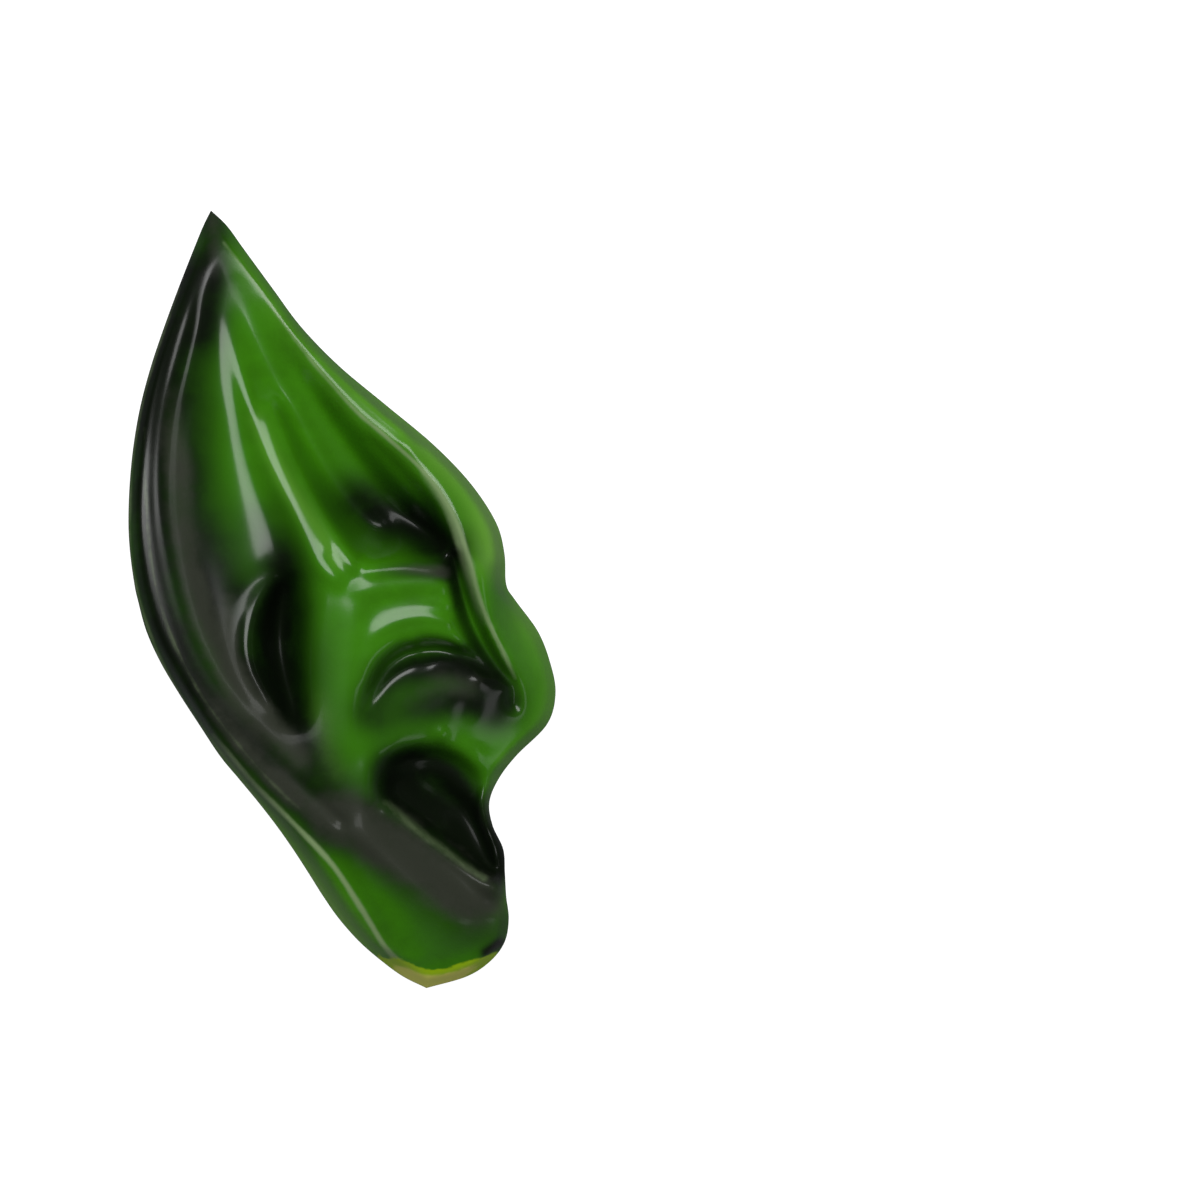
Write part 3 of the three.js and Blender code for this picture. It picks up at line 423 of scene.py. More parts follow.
MATT_STROKES = (
    Stroke("tip", 0.03, ((0.225, 0.062, 0.9), (0.245, 0.085, 0.9), (0.26, 0.12, 0.6))),
    Stroke("ridge of the shelf", 0.028, (
        (0.155, 0.17, 0.5), (0.125, 0.24, 0.9), (0.106, 0.3, 1.0), (0.106, 0.37, 1.0), (0.122, 0.44, 1.0),
        (0.16, 0.52, 1.0), (0.21, 0.58, 1.0), (0.28, 0.635, 1.0), (0.36, 0.68, 1.0),
    )),
    Stroke("beside the pit", 0.024, (
        (0.26, 0.48, 0.8), (0.238, 0.52, 1.0), (0.238, 0.56, 1.0), (0.262, 0.61, 1.0),
    )),
    Stroke("foot of the pit", 0.022, (
        (0.31, 0.655, 0.9), (0.37, 0.678, 0.9), (0.42, 0.675, 0.9), (0.45, 0.65, 0.8),
    )),
    Stroke("pit of the scapha", 0.045, (
        (0.365, 0.47, 0.9), (0.358, 0.53, 1.0), (0.362, 0.6, 1.0), (0.4, 0.65, 0.9),
    )),
    Stroke("triangular pit", 0.04, ((0.55, 0.385, 0.9), (0.62, 0.4, 0.8), (0.72, 0.425, 0.8))),
    Stroke("meeting of the crura", 0.016, ((0.49, 0.49, 0.8), (0.53, 0.485, 0.8))),
    Stroke("deep bowl", 0.06, (
        (0.64, 0.725, 0.9), (0.7, 0.735, 0.9), (0.77, 0.775, 0.9), (0.85, 0.835, 0.9),
    )),
    Stroke("lobe", 0.12, ((0.5, 0.78, 0.7), (0.62, 0.83, 0.7), (0.72, 0.87, 0.7), (0.83, 0.92, 0.5))),
)

# Painted light: lighter green laid where the sides and some crests face the lamps.
LIT_PALE_STROKES = (
    Stroke("outside of the front rim", 0.055, (
        (0.3, 0.06, 0.2), (0.4, 0.13, 0.3), (0.53, 0.21, 0.5), (0.7, 0.285, 0.8), (0.83, 0.36, 1.0),
        (0.87, 0.44, 1.0),
    )),
    Stroke("side of the lower rim", 0.034, (
        (0.2, 0.7, 0.6), (0.28, 0.755, 1.0), (0.37, 0.82, 1.0), (0.45, 0.88, 1.0), (0.53, 0.94, 1.0),
        (0.58, 0.965, 0.6),
    )),
    Stroke("low end of the antihelix", 0.03, ((0.44, 0.63, 0.2), (0.45, 0.68, 0.45), (0.48, 0.72, 0.3))),
    Stroke("upper crus", 0.02, ((0.3, 0.27, 0.2), (0.36, 0.34, 0.4), (0.43, 0.4, 0.4), (0.49, 0.45, 0.3))),
    Stroke("cheek flange", 0.05, ((0.93, 0.52, 0.3), (0.97, 0.6, 0.1), (0.95, 0.67, 0.05))),
    Stroke("edge of the flange", 0.025, (
        (0.89, 0.47, 0.7), (0.93, 0.51, 0.6), (0.985, 0.57, 0.5), (1.0, 0.62, 0.5), (0.97, 0.67, 0.5),
        (0.89, 0.71, 0.6),
    )),
    Stroke("edge of the tragus", 0.02, (
        (0.87, 0.73, 0.6), (0.85, 0.78, 0.8), (0.88, 0.84, 0.9), (0.87, 0.89, 0.7),
    )),
)

# Painted highlights: pale lines laid along the crests, and along the back edge, where the lamps' highlights
# and sheen fall.
PAINTED_HIGHLIGHT_STROKES = (
    Stroke("crest of the back rim", 0.006, (
        (0.038, 0.28, 0.15), (0.042, 0.36, 0.3), (0.058, 0.46, 0.3), (0.098, 0.54, 0.3), (0.16, 0.61, 0.3),
        (0.23, 0.665, 0.3), (0.34, 0.735, 0.25), (0.44, 0.785, 0.15),
    )),
    Stroke("crest of the lower rim", 0.008, (
        (0.2, 0.672, 0.4), (0.3, 0.738, 0.7), (0.4, 0.793, 0.95), (0.48, 0.84, 1.0), (0.55, 0.9, 1.0),
        (0.6, 0.946, 1.0), (0.645, 0.972, 0.9),
    )),
    Stroke("crest of the front rim", 0.0065, (
        (0.222, 0.0425, 0.4), (0.275, 0.08, 0.5), (0.336, 0.125, 0.5), (0.396, 0.171, 0.55),
        (0.457, 0.212, 0.6), (0.533, 0.258, 0.7), (0.605, 0.292, 0.8), (0.699, 0.34, 0.9), (0.76, 0.39, 1.0),
        (0.798, 0.4485, 1.0), (0.82, 0.494, 0.9), (0.845, 0.53, 0.9), (0.876, 0.566, 0.8), (0.905, 0.6, 0.5),
    )),
    Stroke("turn of the front rim", 0.011, (
        (0.69, 0.34, 0.3), (0.745, 0.385, 0.7), (0.783, 0.445, 0.8), (0.805, 0.49, 0.6), (0.83, 0.53, 0.3),
    )),
    Stroke("lip of the antitragus", 0.012, (
        (0.603, 0.759, 0.3), (0.643, 0.779, 0.4), (0.7, 0.804, 0.45), (0.77, 0.832, 0.45),
        (0.832, 0.856, 0.4),
    )),
    Stroke("edge of the back rim", 0.006, (
        (0.118, 0.1, 0.3), (0.055, 0.2, 0.4), (0.015, 0.3, 0.45), (0.003, 0.4, 0.45), (0.017, 0.48, 0.45),
        (0.078, 0.58, 0.45), (0.168, 0.66, 0.4), (0.306, 0.76, 0.4), (0.421, 0.85, 0.4), (0.54, 0.94, 0.4),
    )),
)

WORN_STROKES = (
    Stroke("foot of the lobe", 0.028, (
        (0.59, 0.962, 0.4), (0.635, 0.978, 0.9), (0.7, 0.992, 1.0), (0.78, 0.982, 1.0), (0.85, 0.96, 0.5),
    )),
)


PAINT_LAYERS = {
    "sprayed": BLACK_STROKES,
    "dull_and_sheen": DULL_AND_SHEEN_STROKES,
    "matt": MATT_STROKES,
    "lit_pale": LIT_PALE_STROKES,
    "painted_highlight": PAINTED_HIGHLIGHT_STROKES,
    "worn": WORN_STROKES,
}


class Finish(Enum):
    """Which face of the latex a surface shows."""

    PAINTED = "painted"
    BARE = "bare"


def smooth_rows(rows: np.ndarray, steps: int) -> np.ndarray:
    """Runs a Catmull-Rom curve through the rows of a table.

    Args:
        rows: One row for each point, with any number of columns.
        steps: Points that each span gets.

    Returns:
        The rows of the finer table, which passes through each given row.
    """
    padded = np.vstack([2 * rows[0] - rows[1], rows, 2 * rows[-1] - rows[-2]])
    t = (np.arange(steps) / steps)[:, None]
    spans = []
    for k in range(len(rows) - 1):
        a, b, c, d = padded[k : k + 4]
        bend = 2 * a - 5 * b + 4 * c - d
        twist = 3 * b - a - 3 * c + d
        spans.append(0.5 * (2 * b + (c - a) * t + bend * t**2 + twist * t**3))
    return np.vstack([*spans, rows[-1:]])


def turn_over(distance: np.ndarray, reach: np.ndarray | float) -> np.ndarray:
    """Rises from 0 at the outline to 1 at a given distance inwards, along a quarter circle."""
    return np.sqrt(1 - (1 - np.clip(distance / reach, 0, 1)) ** 2)


def turn_places(start: float, end: float, steps: int) -> np.ndarray:
    """Gives places that crowd towards the start, as equal steps round a quarter circle do."""
    return start + (end - start) * (1 - np.cos(np.linspace(0, math.pi / 2, steps + 1)))


@dataclass
class EarForm:
    """The shape of the ear, worked out from its sizes and the tables above.

    outline, mouth and pieces are worked out from the tables when the form is made.

    Args:
        length: Tip to the foot of the lobe.
        width: Back edge to the front of the cheek flange.
        depth: What every height share is a share of.
        wall: Thickness of the latex.
        edge_round: How far in from the outline the face takes to turn over.
        tip_lift: How far the underside of the tip stands clear of the table.
        tip_lift_from: Where the underside of the tip leaves the table, a share of the length from the tip.
        back_reach: How far in the back takes to reach the table, for each unit of edge height.
        steep_wall: How many times thicker the latex is where a wall stands steep.
        edge_swell: How far above the edge the face comes down to, a share of edge_round.
        edge_breadth: How broadly the edge holds the face down, a share of the width.
        crest_give: Keeps the surface steady where the nearest pieces lie in one line.
        least_span: The least width that a share is taken of.
        batch: How many places are worked out at once.
    """

    length: float
    width: float
    depth: float = 0.030
    wall: float = 0.0018
    edge_round: float = 0.0016
    tip_lift: float = 0.0075
    tip_lift_from: float = 0.42
    back_reach: float = 0.85
    steep_wall: float = 1.5
    edge_swell: float = 0.8
    edge_breadth: float = 0.012
    crest_give: float = 0.00008
    least_span: float = 1e-9
    batch: int = 4096
    outline: np.ndarray = field(init=False)
    mouth: np.ndarray = field(init=False)
    pieces: np.ndarray = field(init=False)

    def __post_init__(self) -> None:
        """Smooths the tables once."""
        rows = [[s.down, s.left, s.right, s.left_rim, s.right_rim] for s in OUTLINE]
        self.outline = smooth_rows(np.array(rows), 10)
        self.mouth = smooth_rows(np.array([[s.down, s.left, s.right] for s in MOUTH]), 24)
        self.pieces = np.vstack([*(self.fold_pieces(fold) for fold in FOLDS), self.edge_pieces()])

    def across(self, share: np.ndarray | float) -> np.ndarray | float:
        """Turns a share of the width into X."""
        return (share - 0.5) * self.width

    def down(self, share: np.ndarray | float) -> np.ndarray | float:
        """Turns a share of the length from the tip into Y."""
        return (0.5 - share) * self.length

    def fold_pieces(self, fold: Fold) -> np.ndarray:
        """Cuts a fold into short pieces, at most half as long as it is broad.

        Returns:
            Rows of x, y, height, run and breadth.
        """
        breadth = fold.breadth * self.width
        coarse = smooth_rows(np.array(fold.path), 4)
        run = np.hypot(np.diff(coarse[:, 0]) * self.width, np.diff(coarse[:, 1]) * self.length)
        steps = max(4, math.ceil(4 * run.max() / (0.5 * breadth)))
        fine = smooth_rows(np.array(fold.path), steps)
        places = np.c_[self.across(fine[:, 0]), self.down(fine[:, 1]), fine[:, 2] * self.depth]
        middle = (places[1:] + places[:-1]) / 2
        length = np.hypot(*np.diff(places[:, :2], axis=0).T)
        return np.c_[middle, length, np.full(len(length), breadth)]

    def station(self, y: np.ndarray | float) -> tuple[np.ndarray, ...]:
        """Reads the outline at some height of the page.

        Returns:
            X of the back and front edges, and the heights of both edges.
        """
        down = 0.5 - np.asarray(y) / self.length
        left, right, left_rim, right_rim = (
            np.interp(down, self.outline[:, 0], self.outline[:, column]) for column in (1, 2, 3, 4)
        )
        return self.across(left), self.across(right), left_rim * self.depth, right_rim * self.depth

    def distance_to_outline(self, x: np.ndarray, y: np.ndarray) -> np.ndarray:
        """Measures how far inside the outline each place lies."""
        nearest = np.full(x.shape, np.inf)
        for side in (1, 2):
            points = np.c_[self.across(self.outline[:, side]), self.down(self.outline[:, 0])]
            for start, end in zip(points[:-1], points[1:]):
                run = end - start
                along = np.clip(((x - start[0]) * run[0] + (y - start[1]) * run[1]) / (run @ run), 0, 1)
                gap = np.hypot(start[0] + along * run[0] - x, start[1] + along * run[1] - y)
                np.minimum(nearest, gap, out=nearest)
        return nearest

    def edge_pieces(self) -> np.ndarray:
        """Gives the outline as pieces too, so that the skin comes down to it from the nearest folds."""
        sides = []
        for side, rim in ((1, 3), (2, 4)):
            lift = self.outline[:, rim] * self.depth + self.edge_round * self.edge_swell
            places = np.c_[self.across(self.outline[:, side]), self.down(self.outline[:, 0]), lift]
            length = np.hypot(*np.diff(places[:, :2], axis=0).T)
            breadth = np.full(len(length), self.edge_breadth * self.width)
            sides.append(np.c_[(places[1:] + places[:-1]) / 2, length, breadth])
        return np.vstack(sides)

    def modelled_height(self, x: np.ndarray, y: np.ndarray) -> np.ndarray:
        """Lays a small plane through the folds round each place, in which the nearest pieces count most."""
        px, py, pz, run, breadth = self.pieces.T
        terms = np.c_[np.ones(len(px)), px, py, px * px, px * py, py * py, pz, px * pz, py * pz]
        flat_x, flat_y = np.ravel(x), np.ravel(y)
        heights = np.empty(len(flat_x))
        for start in range(0, len(flat_x), self.batch):
            here = slice(start, start + self.batch)
            u, v = flat_x[here], flat_y[here]
            spread = (px - u[:, None]) ** 2 + (py - v[:, None]) ** 2 + breadth**2
            w, wx, wy, wxx, wxy, wyy, wz, wxz, wyz = ((run * breadth**3 / spread**2) @ terms).T
            give = self.crest_give**2 * w
            xx = wxx - 2 * u * wx + u * u * w + give
            yy = wyy - 2 * v * wy + v * v * w + give
            xy = wxy - u * wy - v * wx + u * v * w
            xz, yz = wxz - u * wz, wyz - v * wz
            wx, wy = wx - u * w, wy - v * w
            top = wz * (xx * yy - xy * xy) - wx * (xz * yy - xy * yz) + wy * (xz * xy - xx * yz)
            foot = w * (xx * yy - xy * xy) - wx * (wx * yy - xy * wy) + wy * (wx * xy - xx * wy)
            heights[here] = top / foot
        surface = heights.reshape(np.shape(x))
        for dimple in DIMPLES:
            square = (x - self.across(dimple.across)) ** 2 + (y - self.down(dimple.down)) ** 2
            surface += dimple.height * np.exp(-square / dimple.radius**2)
        return surface

    def face_height(self, x: np.ndarray, y: np.ndarray) -> np.ndarray:
        """Gives the height of the painted face."""
        left, right, left_rim, right_rim = self.station(y)
        share = np.clip((x - left) / np.maximum(right - left, self.least_span), 0, 1)
        rim = left_rim + (right_rim - left_rim) * share**2 * (3 - 2 * share)
        turned = turn_over(self.distance_to_outline(x, y), self.edge_round)
        return rim + (self.modelled_height(x, y) - rim) * turned

    def underside_lift(self, y: np.ndarray | float) -> np.ndarray | float:
        """Tells how far the underside stands clear of the table."""
        down = 0.5 - np.asarray(y) / self.length
        return self.tip_lift * np.clip(1 - down / self.tip_lift_from, 0, 1) ** 2

    def back_reaches(
        self, y: float, left: float, right: float, rims: tuple[float, float]
    ) -> tuple[float, float]:
        """Tells how far in from each edge the back takes to reach its lowest.

        Args:
            y: The station.
            left: X of the back edge there.
            right: X of the front edge there.
            rims: Heights of both edges there.

        Returns:
            The reach from the back edge and from the front edge.
        """
        halfway = max((right - left) / 2, self.least_span)
        lift = float(self.underside_lift(y))
        return tuple(min(max((rim - lift) * self.back_reach, self.least_span), halfway) for rim in rims)

    def back_height(self, x: np.ndarray, y: np.ndarray) -> np.ndarray:
        """Gives the height of the back, which rises from the table to the edge on each side."""
        left, right, left_rim, right_rim = self.station(y)
        lift = self.underside_lift(y)
        halfway = np.maximum((right - left) / 2, self.least_span)
        left_reach = np.minimum(np.maximum((left_rim - lift) * self.back_reach, self.least_span), halfway)
        right_reach = np.minimum(np.maximum((right_rim - lift) * self.back_reach, self.least_span), halfway)
        left_rise = (left_rim - lift) * (1 - turn_over(x - left, left_reach))
        right_rise = (right_rim - lift) * (1 - turn_over(right - x, right_reach))
        return lift + left_rise + right_rise


@dataclass
class EarShell:
    """The casting itself: its mesh, its hollow and its paint.

    raster_heights holds the samples, once make_raster has run.

    Args:
        form: The shape that it follows.
        face_columns: Points across the face.
        edge_steps: How many of them each turn of the edge gets.
        back_steps: Points round the turn of the back, on each side.
        flat_steps: Points along the flat of the back, on each side.
        hollow_columns: Points across the hollow's roof.
        hollow_steps: Points round the turn of the hollow's floor, and along its flat.
        hollow_from: The hollow stops short of the tip by at least this share of the length.
        mouth_drop: How far below the table the hollow is drawn down where it is open.
        least_hollow: The least height of the hollow.
        raster: Spacing of the samples that the hollow's roof is worked out from.
        tip_close: Share of the length over which the rows crowd towards the tip.
        foot_close: Share of the length over which the rows crowd towards the foot.
        tip_rows: Rows in the first of these.
        body_rows: Rows between the two.
        foot_rows: Rows in the second. More would bring the last ones too near the foot for a clean cut.
        lip_span: Share of the length over which the hollow's rows crowd towards the top of its mouth.
        hollow_foot: Where the hollow's last rows begin, a share of the length from the tip.
        upper_rows: Rows of the hollow above its mouth.
        lip_rows: Rows that crowd towards the top of the mouth.
        open_rows: Rows below them.
        end_rows: Rows that crowd towards the hollow's foot.
        name: The piece's name.
    """

    form: EarForm
    face_columns: int = 172
    edge_steps: int = 7
    back_steps: int = 12
    flat_steps: int = 8
    hollow_columns: int = 76
    hollow_steps: int = 8
    hollow_from: float = 0.05
    mouth_drop: float = 0.001
    least_hollow: float = 0.0002
    raster: float = 0.0004
    tip_close: float = 0.03
    foot_close: float = 0.05
    tip_rows: int = 14
    body_rows: int = 300
    foot_rows: int = 22
    lip_span: float = 0.02
    hollow_foot: float = 0.93
    upper_rows: int = 70
    lip_rows: int = 10
    open_rows: int = 100
    end_rows: int = 20
    name: str = "ear_shell_cast"
    raster_heights: np.ndarray = field(init=False)

    def face_shares(self) -> np.ndarray:
        """Gives the stations of the face's rows, close together where the outline closes."""
        start = self.tip_close * (1 - np.cos(np.linspace(0, math.pi / 2, self.tip_rows)))
        body = np.linspace(self.tip_close, 1 - self.foot_close, self.body_rows)[1:]
        foot = 1 - self.foot_close * (1 - np.sin(np.linspace(0, math.pi / 2, self.foot_rows)))[1:]
        return np.r_[start, body, foot]

    def face_places(self, left: float, right: float, count: int, steps: int) -> np.ndarray:
        """Gives places from left to right across a face that turns over at each edge."""
        edge = min(self.form.edge_round, (right - left) / 4)
        between = np.linspace(left + edge, right - edge, count - 2 * steps)
        left_turn = turn_places(left, left + edge, steps)[:-1]
        right_turn = turn_places(right, right - edge, steps)[:-1]
        return np.r_[left_turn, between, right_turn[::-1]]

    def back_places(self, edge: float, inner: float, reach: float, turn: int, flat: int) -> np.ndarray:
        """Gives places from one edge of the back inwards: round the turn, then along the flat."""
        turned = edge + np.sign(inner - edge) * min(reach, abs(inner - edge))
        return np.r_[turn_places(edge, turned, turn), np.linspace(turned, inner, flat + 1)[1:]]

    def outside_loops(self) -> np.ndarray:
        """Works out the whole outside, one loop for each station: the face, then the back."""
        form = self.form
        loops = []
        for share in self.face_shares()[1:-1]:
            y = form.down(share)
            left, right, left_rim, right_rim = (float(v) for v in form.station(y))
            left_reach, right_reach = form.back_reaches(y, left, right, (left_rim, right_rim))
            middle = (left + right) / 2
            face_x = self.face_places(left, right, self.face_columns, self.edge_steps)
            from_right = self.back_places(right, middle, right_reach, self.back_steps, self.flat_steps)[1:]
            from_left = self.back_places(left, middle, left_reach, self.back_steps, self.flat_steps)
            back_x = np.r_[from_right, from_left[1:-1][::-1]]
            x = np.r_[face_x, back_x]
            loops.append(np.c_[x, np.full(len(x), y), np.zeros(len(x))])
        stacked = np.array(loops)
        count = self.face_columns
        face = stacked[:, :count]
        heights = form.face_height(face[..., 0], face[..., 1])
        left, right, left_rim, right_rim = form.station(stacked[:, 0, 1])
        heights[:, 0], heights[:, -1] = left_rim, right_rim
        stacked[:, :count, 2] = heights
        stacked[:, count:, 2] = form.back_height(stacked[:, count:, 0], stacked[:, count:, 1])
        return stacked

    def outside_poles(self) -> tuple[np.ndarray, np.ndarray]:
        """Gives the two points on which the outside closes: the tip and the foot of the lobe."""
        poles = []
        for share in (0.0, 1.0):
            y = self.form.down(share)
            left, _, left_rim, _ = self.form.station(y)
            poles.append(np.array([left, y, left_rim], float))
        return poles[0], poles[1]

    def sample_face(self, x: np.ndarray, y: np.ndarray) -> np.ndarray:
        """Reads the face's height from the raster."""
        form = self.form
        u = np.clip((x + form.width / 2) / self.raster, 0, self.raster_heights.shape[1] - 2)
        v = np.clip((y + form.length / 2) / self.raster, 0, self.raster_heights.shape[0] - 2)
        iu, iv = u.astype(int), v.astype(int)
        fu, fv = u - iu, v - iv
        h = self.raster_heights
        low = h[iv, iu] * (1 - fu) + h[iv, iu + 1] * fu
        high = h[iv + 1, iu] * (1 - fu) + h[iv + 1, iu + 1] * fu
        return low * (1 - fv) + high * fv

    def make_raster(self) -> None:
        """Samples the face on an even raster."""
        form = self.form
        xs = np.arange(-form.width / 2, form.width / 2 + 2 * self.raster, self.raster)
        ys = np.arange(-form.length / 2, form.length / 2 + 2 * self.raster, self.raster)
        x, y = np.meshgrid(xs, ys)
        self.raster_heights = form.face_height(x, y)

    def probes(self) -> list[tuple[float, float, float]]:
        """Gives places round a point, with the drop that keeps a flattened ball of latex in the skin."""
        form = self.form
        found = [(0.0, 0.0, form.wall)]
        for share, count in ((0.35, 8), (0.7, 12), (1.0, 16)):
            radius = share * form.steep_wall * form.wall
            drop = form.wall * math.sqrt(1 - share**2)
            for angle in np.arange(count) * 2 * math.pi / count:
                found.append((radius * math.cos(angle), radius * math.sin(angle), drop))
        return found

    def inside(self, x: np.ndarray, y: np.ndarray) -> np.ndarray:
        """Tells which places lie inside the outline."""
        left, right, _, _ = self.form.station(y)
        return (np.abs(y) < self.form.length / 2) & (x > left) & (x < right)

    def roof_height(self, x: np.ndarray, y: np.ndarray) -> np.ndarray:
        """Gives the hollow's roof: as high as still leaves a wall under every part of the face."""
        roof = np.full(x.shape, np.inf)
        for dx, dy, drop in self.probes():
            height = self.sample_face(x + dx, y + dy) - drop
            np.minimum(roof, np.where(self.inside(x + dx, y + dy), height, np.inf), out=roof)
        return roof

    def floor_height(self, x: np.ndarray, y: np.ndarray) -> np.ndarray:
        """Gives the hollow's floor, a wall above the back."""
        floor = np.full(x.shape, -np.inf)
        for dx, dy, drop in self.probes():
            height = self.form.back_height(x + dx, y + dy) + drop
            np.maximum(floor, np.where(self.inside(x + dx, y + dy), height, -np.inf), out=floor)
        return floor

    def inner_station(self, y: float) -> tuple[float, float, float, float]:
        """Gives the outline moved in by the wall, at one station."""
        form = self.form
        left, right, left_rim, right_rim = (float(v) for v in form.station(y))
        dy = np.linspace(-form.wall, form.wall, 25)
        reach = np.sqrt(form.wall**2 - dy**2)
        beside = form.station(np.clip(y + dy, -form.length / 2, form.length / 2))
        left = max(left, float(np.max(beside[0] + reach)))
        right = min(right, float(np.min(beside[1] - reach)))
        return left, right, left_rim, right_rim

    def closing_share(self, is_open: float, shut: float) -> float:
        """Finds where the inner outline closes to nothing, between two stations."""
        for _ in range(40):
            middle = (is_open + shut) / 2
            left, right, _, _ = self.inner_station(float(self.form.down(middle)))
            if right > left:
                is_open = middle
            else:
                shut = middle
        return is_open

    def hollow_shares(self) -> np.ndarray:
        """Gives the stations of the hollow's rows."""
        mouth_top = MOUTH[0].down
        first = self.closing_share(0.5, self.hollow_from)
        last = self.closing_share(0.9, 1.0)
        lip_end = mouth_top + self.lip_span
        upper = np.linspace(first, mouth_top, self.upper_rows)
        lip = mouth_top + self.lip_span * (1 - np.cos(np.linspace(0, math.pi / 2, self.lip_rows)))[1:]
        body = np.linspace(lip_end, self.hollow_foot, self.open_rows)[1:]
        crowding = (1 - np.sin(np.linspace(0, math.pi / 2, self.end_rows)))[1:]
        foot = last - (last - self.hollow_foot) * crowding
        return np.r_[upper, lip, body, foot]

    def hollow_loops(self) -> tuple[np.ndarray, np.ndarray, np.ndarray]:
        """Works out the hollow, one loop for each station: its roof, then its floor, broken by the mouth.

        Returns:
            The loops, and the two points on which the hollow closes.
        """
        form = self.form
        shares = self.hollow_shares()
        mouth_top = MOUTH[0].down
        loops = []
        for share in shares[1:-1]:
            y = float(form.down(share))
            left, right, left_rim, right_rim = self.inner_station(y)
            is_open = share > mouth_top + 1e-6
            mouth_left, mouth_right = (np.interp(share, form.mouth[:, 0], form.mouth[:, k]) for k in (1, 2))
            mouth_to = float(np.clip(form.across(mouth_right), left, right))
            mouth_from = float(np.clip(form.across(mouth_left), left, mouth_to))
            left_reach, right_reach = form.back_reaches(y, left, right, (left_rim, right_rim))
            roof_x = self.face_places(left, right, self.hollow_columns, self.edge_steps)
            steps = self.hollow_steps
            right_x = self.back_places(right, mouth_to, right_reach, steps, steps)[1:]
            left_x = self.back_places(left, mouth_from, left_reach, steps, steps)[1:][::-1]
            floor = [self.floor_height(x, np.full(len(x), y)) for x in (roof_x, right_x, left_x)]
            opened = is_open & (roof_x > mouth_from)
            allowed = np.where(opened, -self.mouth_drop, floor[0] + self.least_hollow)
            roof = np.maximum(self.roof_height(roof_x, np.full(len(roof_x), y)), allowed)
            roof[0], roof[-1] = left_rim, right_rim
            right_z = np.where(right_x >= right, right_rim, floor[1])
            left_z = np.where(left_x <= left, left_rim, floor[2])
            lip_z = (-self.mouth_drop,) * 2 if is_open else (right_z[-1], left_z[0])
            x = np.r_[roof_x, right_x, mouth_to, mouth_from, left_x]
            z = np.r_[roof, right_z, lip_z, left_z]
            loops.append(np.c_[x, np.full(len(x), y), z])
        ends = []
        for share, height in ((shares[0], None), (shares[-1], -self.mouth_drop)):
            y = float(form.down(share))
            left, right, left_rim, _ = self.inner_station(y)
            ends.append(np.array([(left + right) / 2, y, left_rim if height is None else height]))
        return np.array(loops), ends[0], ends[1]

    def skin(self, name: str, loops: np.ndarray, first: np.ndarray, last: np.ndarray) -> bpy.types.Object:
        """Closes a skin through loops of equally many points, with a point at each end.

        Args:
            name: The object's name.
            loops: Rows of points, each row one loop.
            first: The point that closes the first loop.
            last: The point that closes the last loop.

        Returns:
            A closed mesh whose faces point outwards.
        """
        rows, size = loops.shape[:2]
        points = np.vstack([loops.reshape(-1, 3), first, last])
        start = np.arange(rows - 1)[:, None] * size
        here = np.arange(size)[None, :]
        beside = (here + 1) % size
        a, b = start + here, start + beside
        c, d = a + size, b + size
        one_way = np.linalg.norm(points[b] - points[c], axis=-1)
        other_way = np.linalg.norm(points[a] - points[d], axis=-1)
        straight = (one_way <= other_way)[..., None]
        one = np.where(straight, np.stack([a, c, b], -1), np.stack([a, c, d], -1)).reshape(-1, 3)
        two = np.where(straight, np.stack([b, c, d], -1), np.stack([a, d, b], -1)).reshape(-1, 3)
        top = np.c_[here[0], beside[0], np.full(size, rows * size)]
        base = (rows - 1) * size
        foot = np.c_[base + beside[0], base + here[0], np.full(size, rows * size + 1)]
        faces = np.vstack([one, two, top, foot])
        mesh = bpy.data.meshes.new(name)
        mesh.from_pydata(points.tolist(), [], faces.tolist())
        piece = bpy.data.objects.new(name, mesh)
        bpy.context.scene.collection.objects.link(piece)
        self.merge(mesh)
        return piece

    def merge(self, mesh: bpy.types.Mesh, distance: float = 2e-7) -> None:
        """Merges points that coincide, so that the skin is closed where loops pinch together."""
        work = bmesh.new()
        work.from_mesh(mesh)
        bmesh.ops.remove_doubles(work, verts=work.verts, dist=distance)
        bmesh.ops.dissolve_degenerate(work, edges=work.edges, dist=distance)
        work.to_mesh(mesh)
        work.free()

    def build(self) -> bpy.types.Object:
        """Casts the shell: the outside less the hollow.

        Returns:
            One closed mesh, at the origin, in metres.
        """
        self.make_raster()
        outside = self.skin(self.name, self.outside_loops(), *self.outside_poles())
        hollow = self.skin("hollow", *self.hollow_loops())
        slots = [bpy.data.materials.new(face.value) for face in Finish]
        for piece, index in ((outside, 0), (hollow, 1)):
            for slot in slots:
                piece.data.materials.append(slot)
            piece.data.polygons.foreach_set("material_index", [index] * len(piece.data.polygons))
        cut = outside.modifiers.new("hollow", "BOOLEAN")
        cut.operation = "DIFFERENCE"
        cut.solver = "MANIFOLD"
        cut.object = hollow
        bpy.context.view_layer.update()
        evaluated = outside.evaluated_get(bpy.context.evaluated_depsgraph_get())
        mesh = bpy.data.meshes.new_from_object(evaluated)
        outside.modifiers.clear()
        outside.data = mesh
        bpy.data.objects.remove(hollow)
        self.smooth(mesh)
        self.paint(mesh)
        inside = sum(polygon.material_index for polygon in mesh.polygons)
        if not inside:
            raise RuntimeError("the hollow was not cut out of the casting")
        log.info("cast: %d faces, of which %d inside", len(mesh.polygons), inside)
        return outside

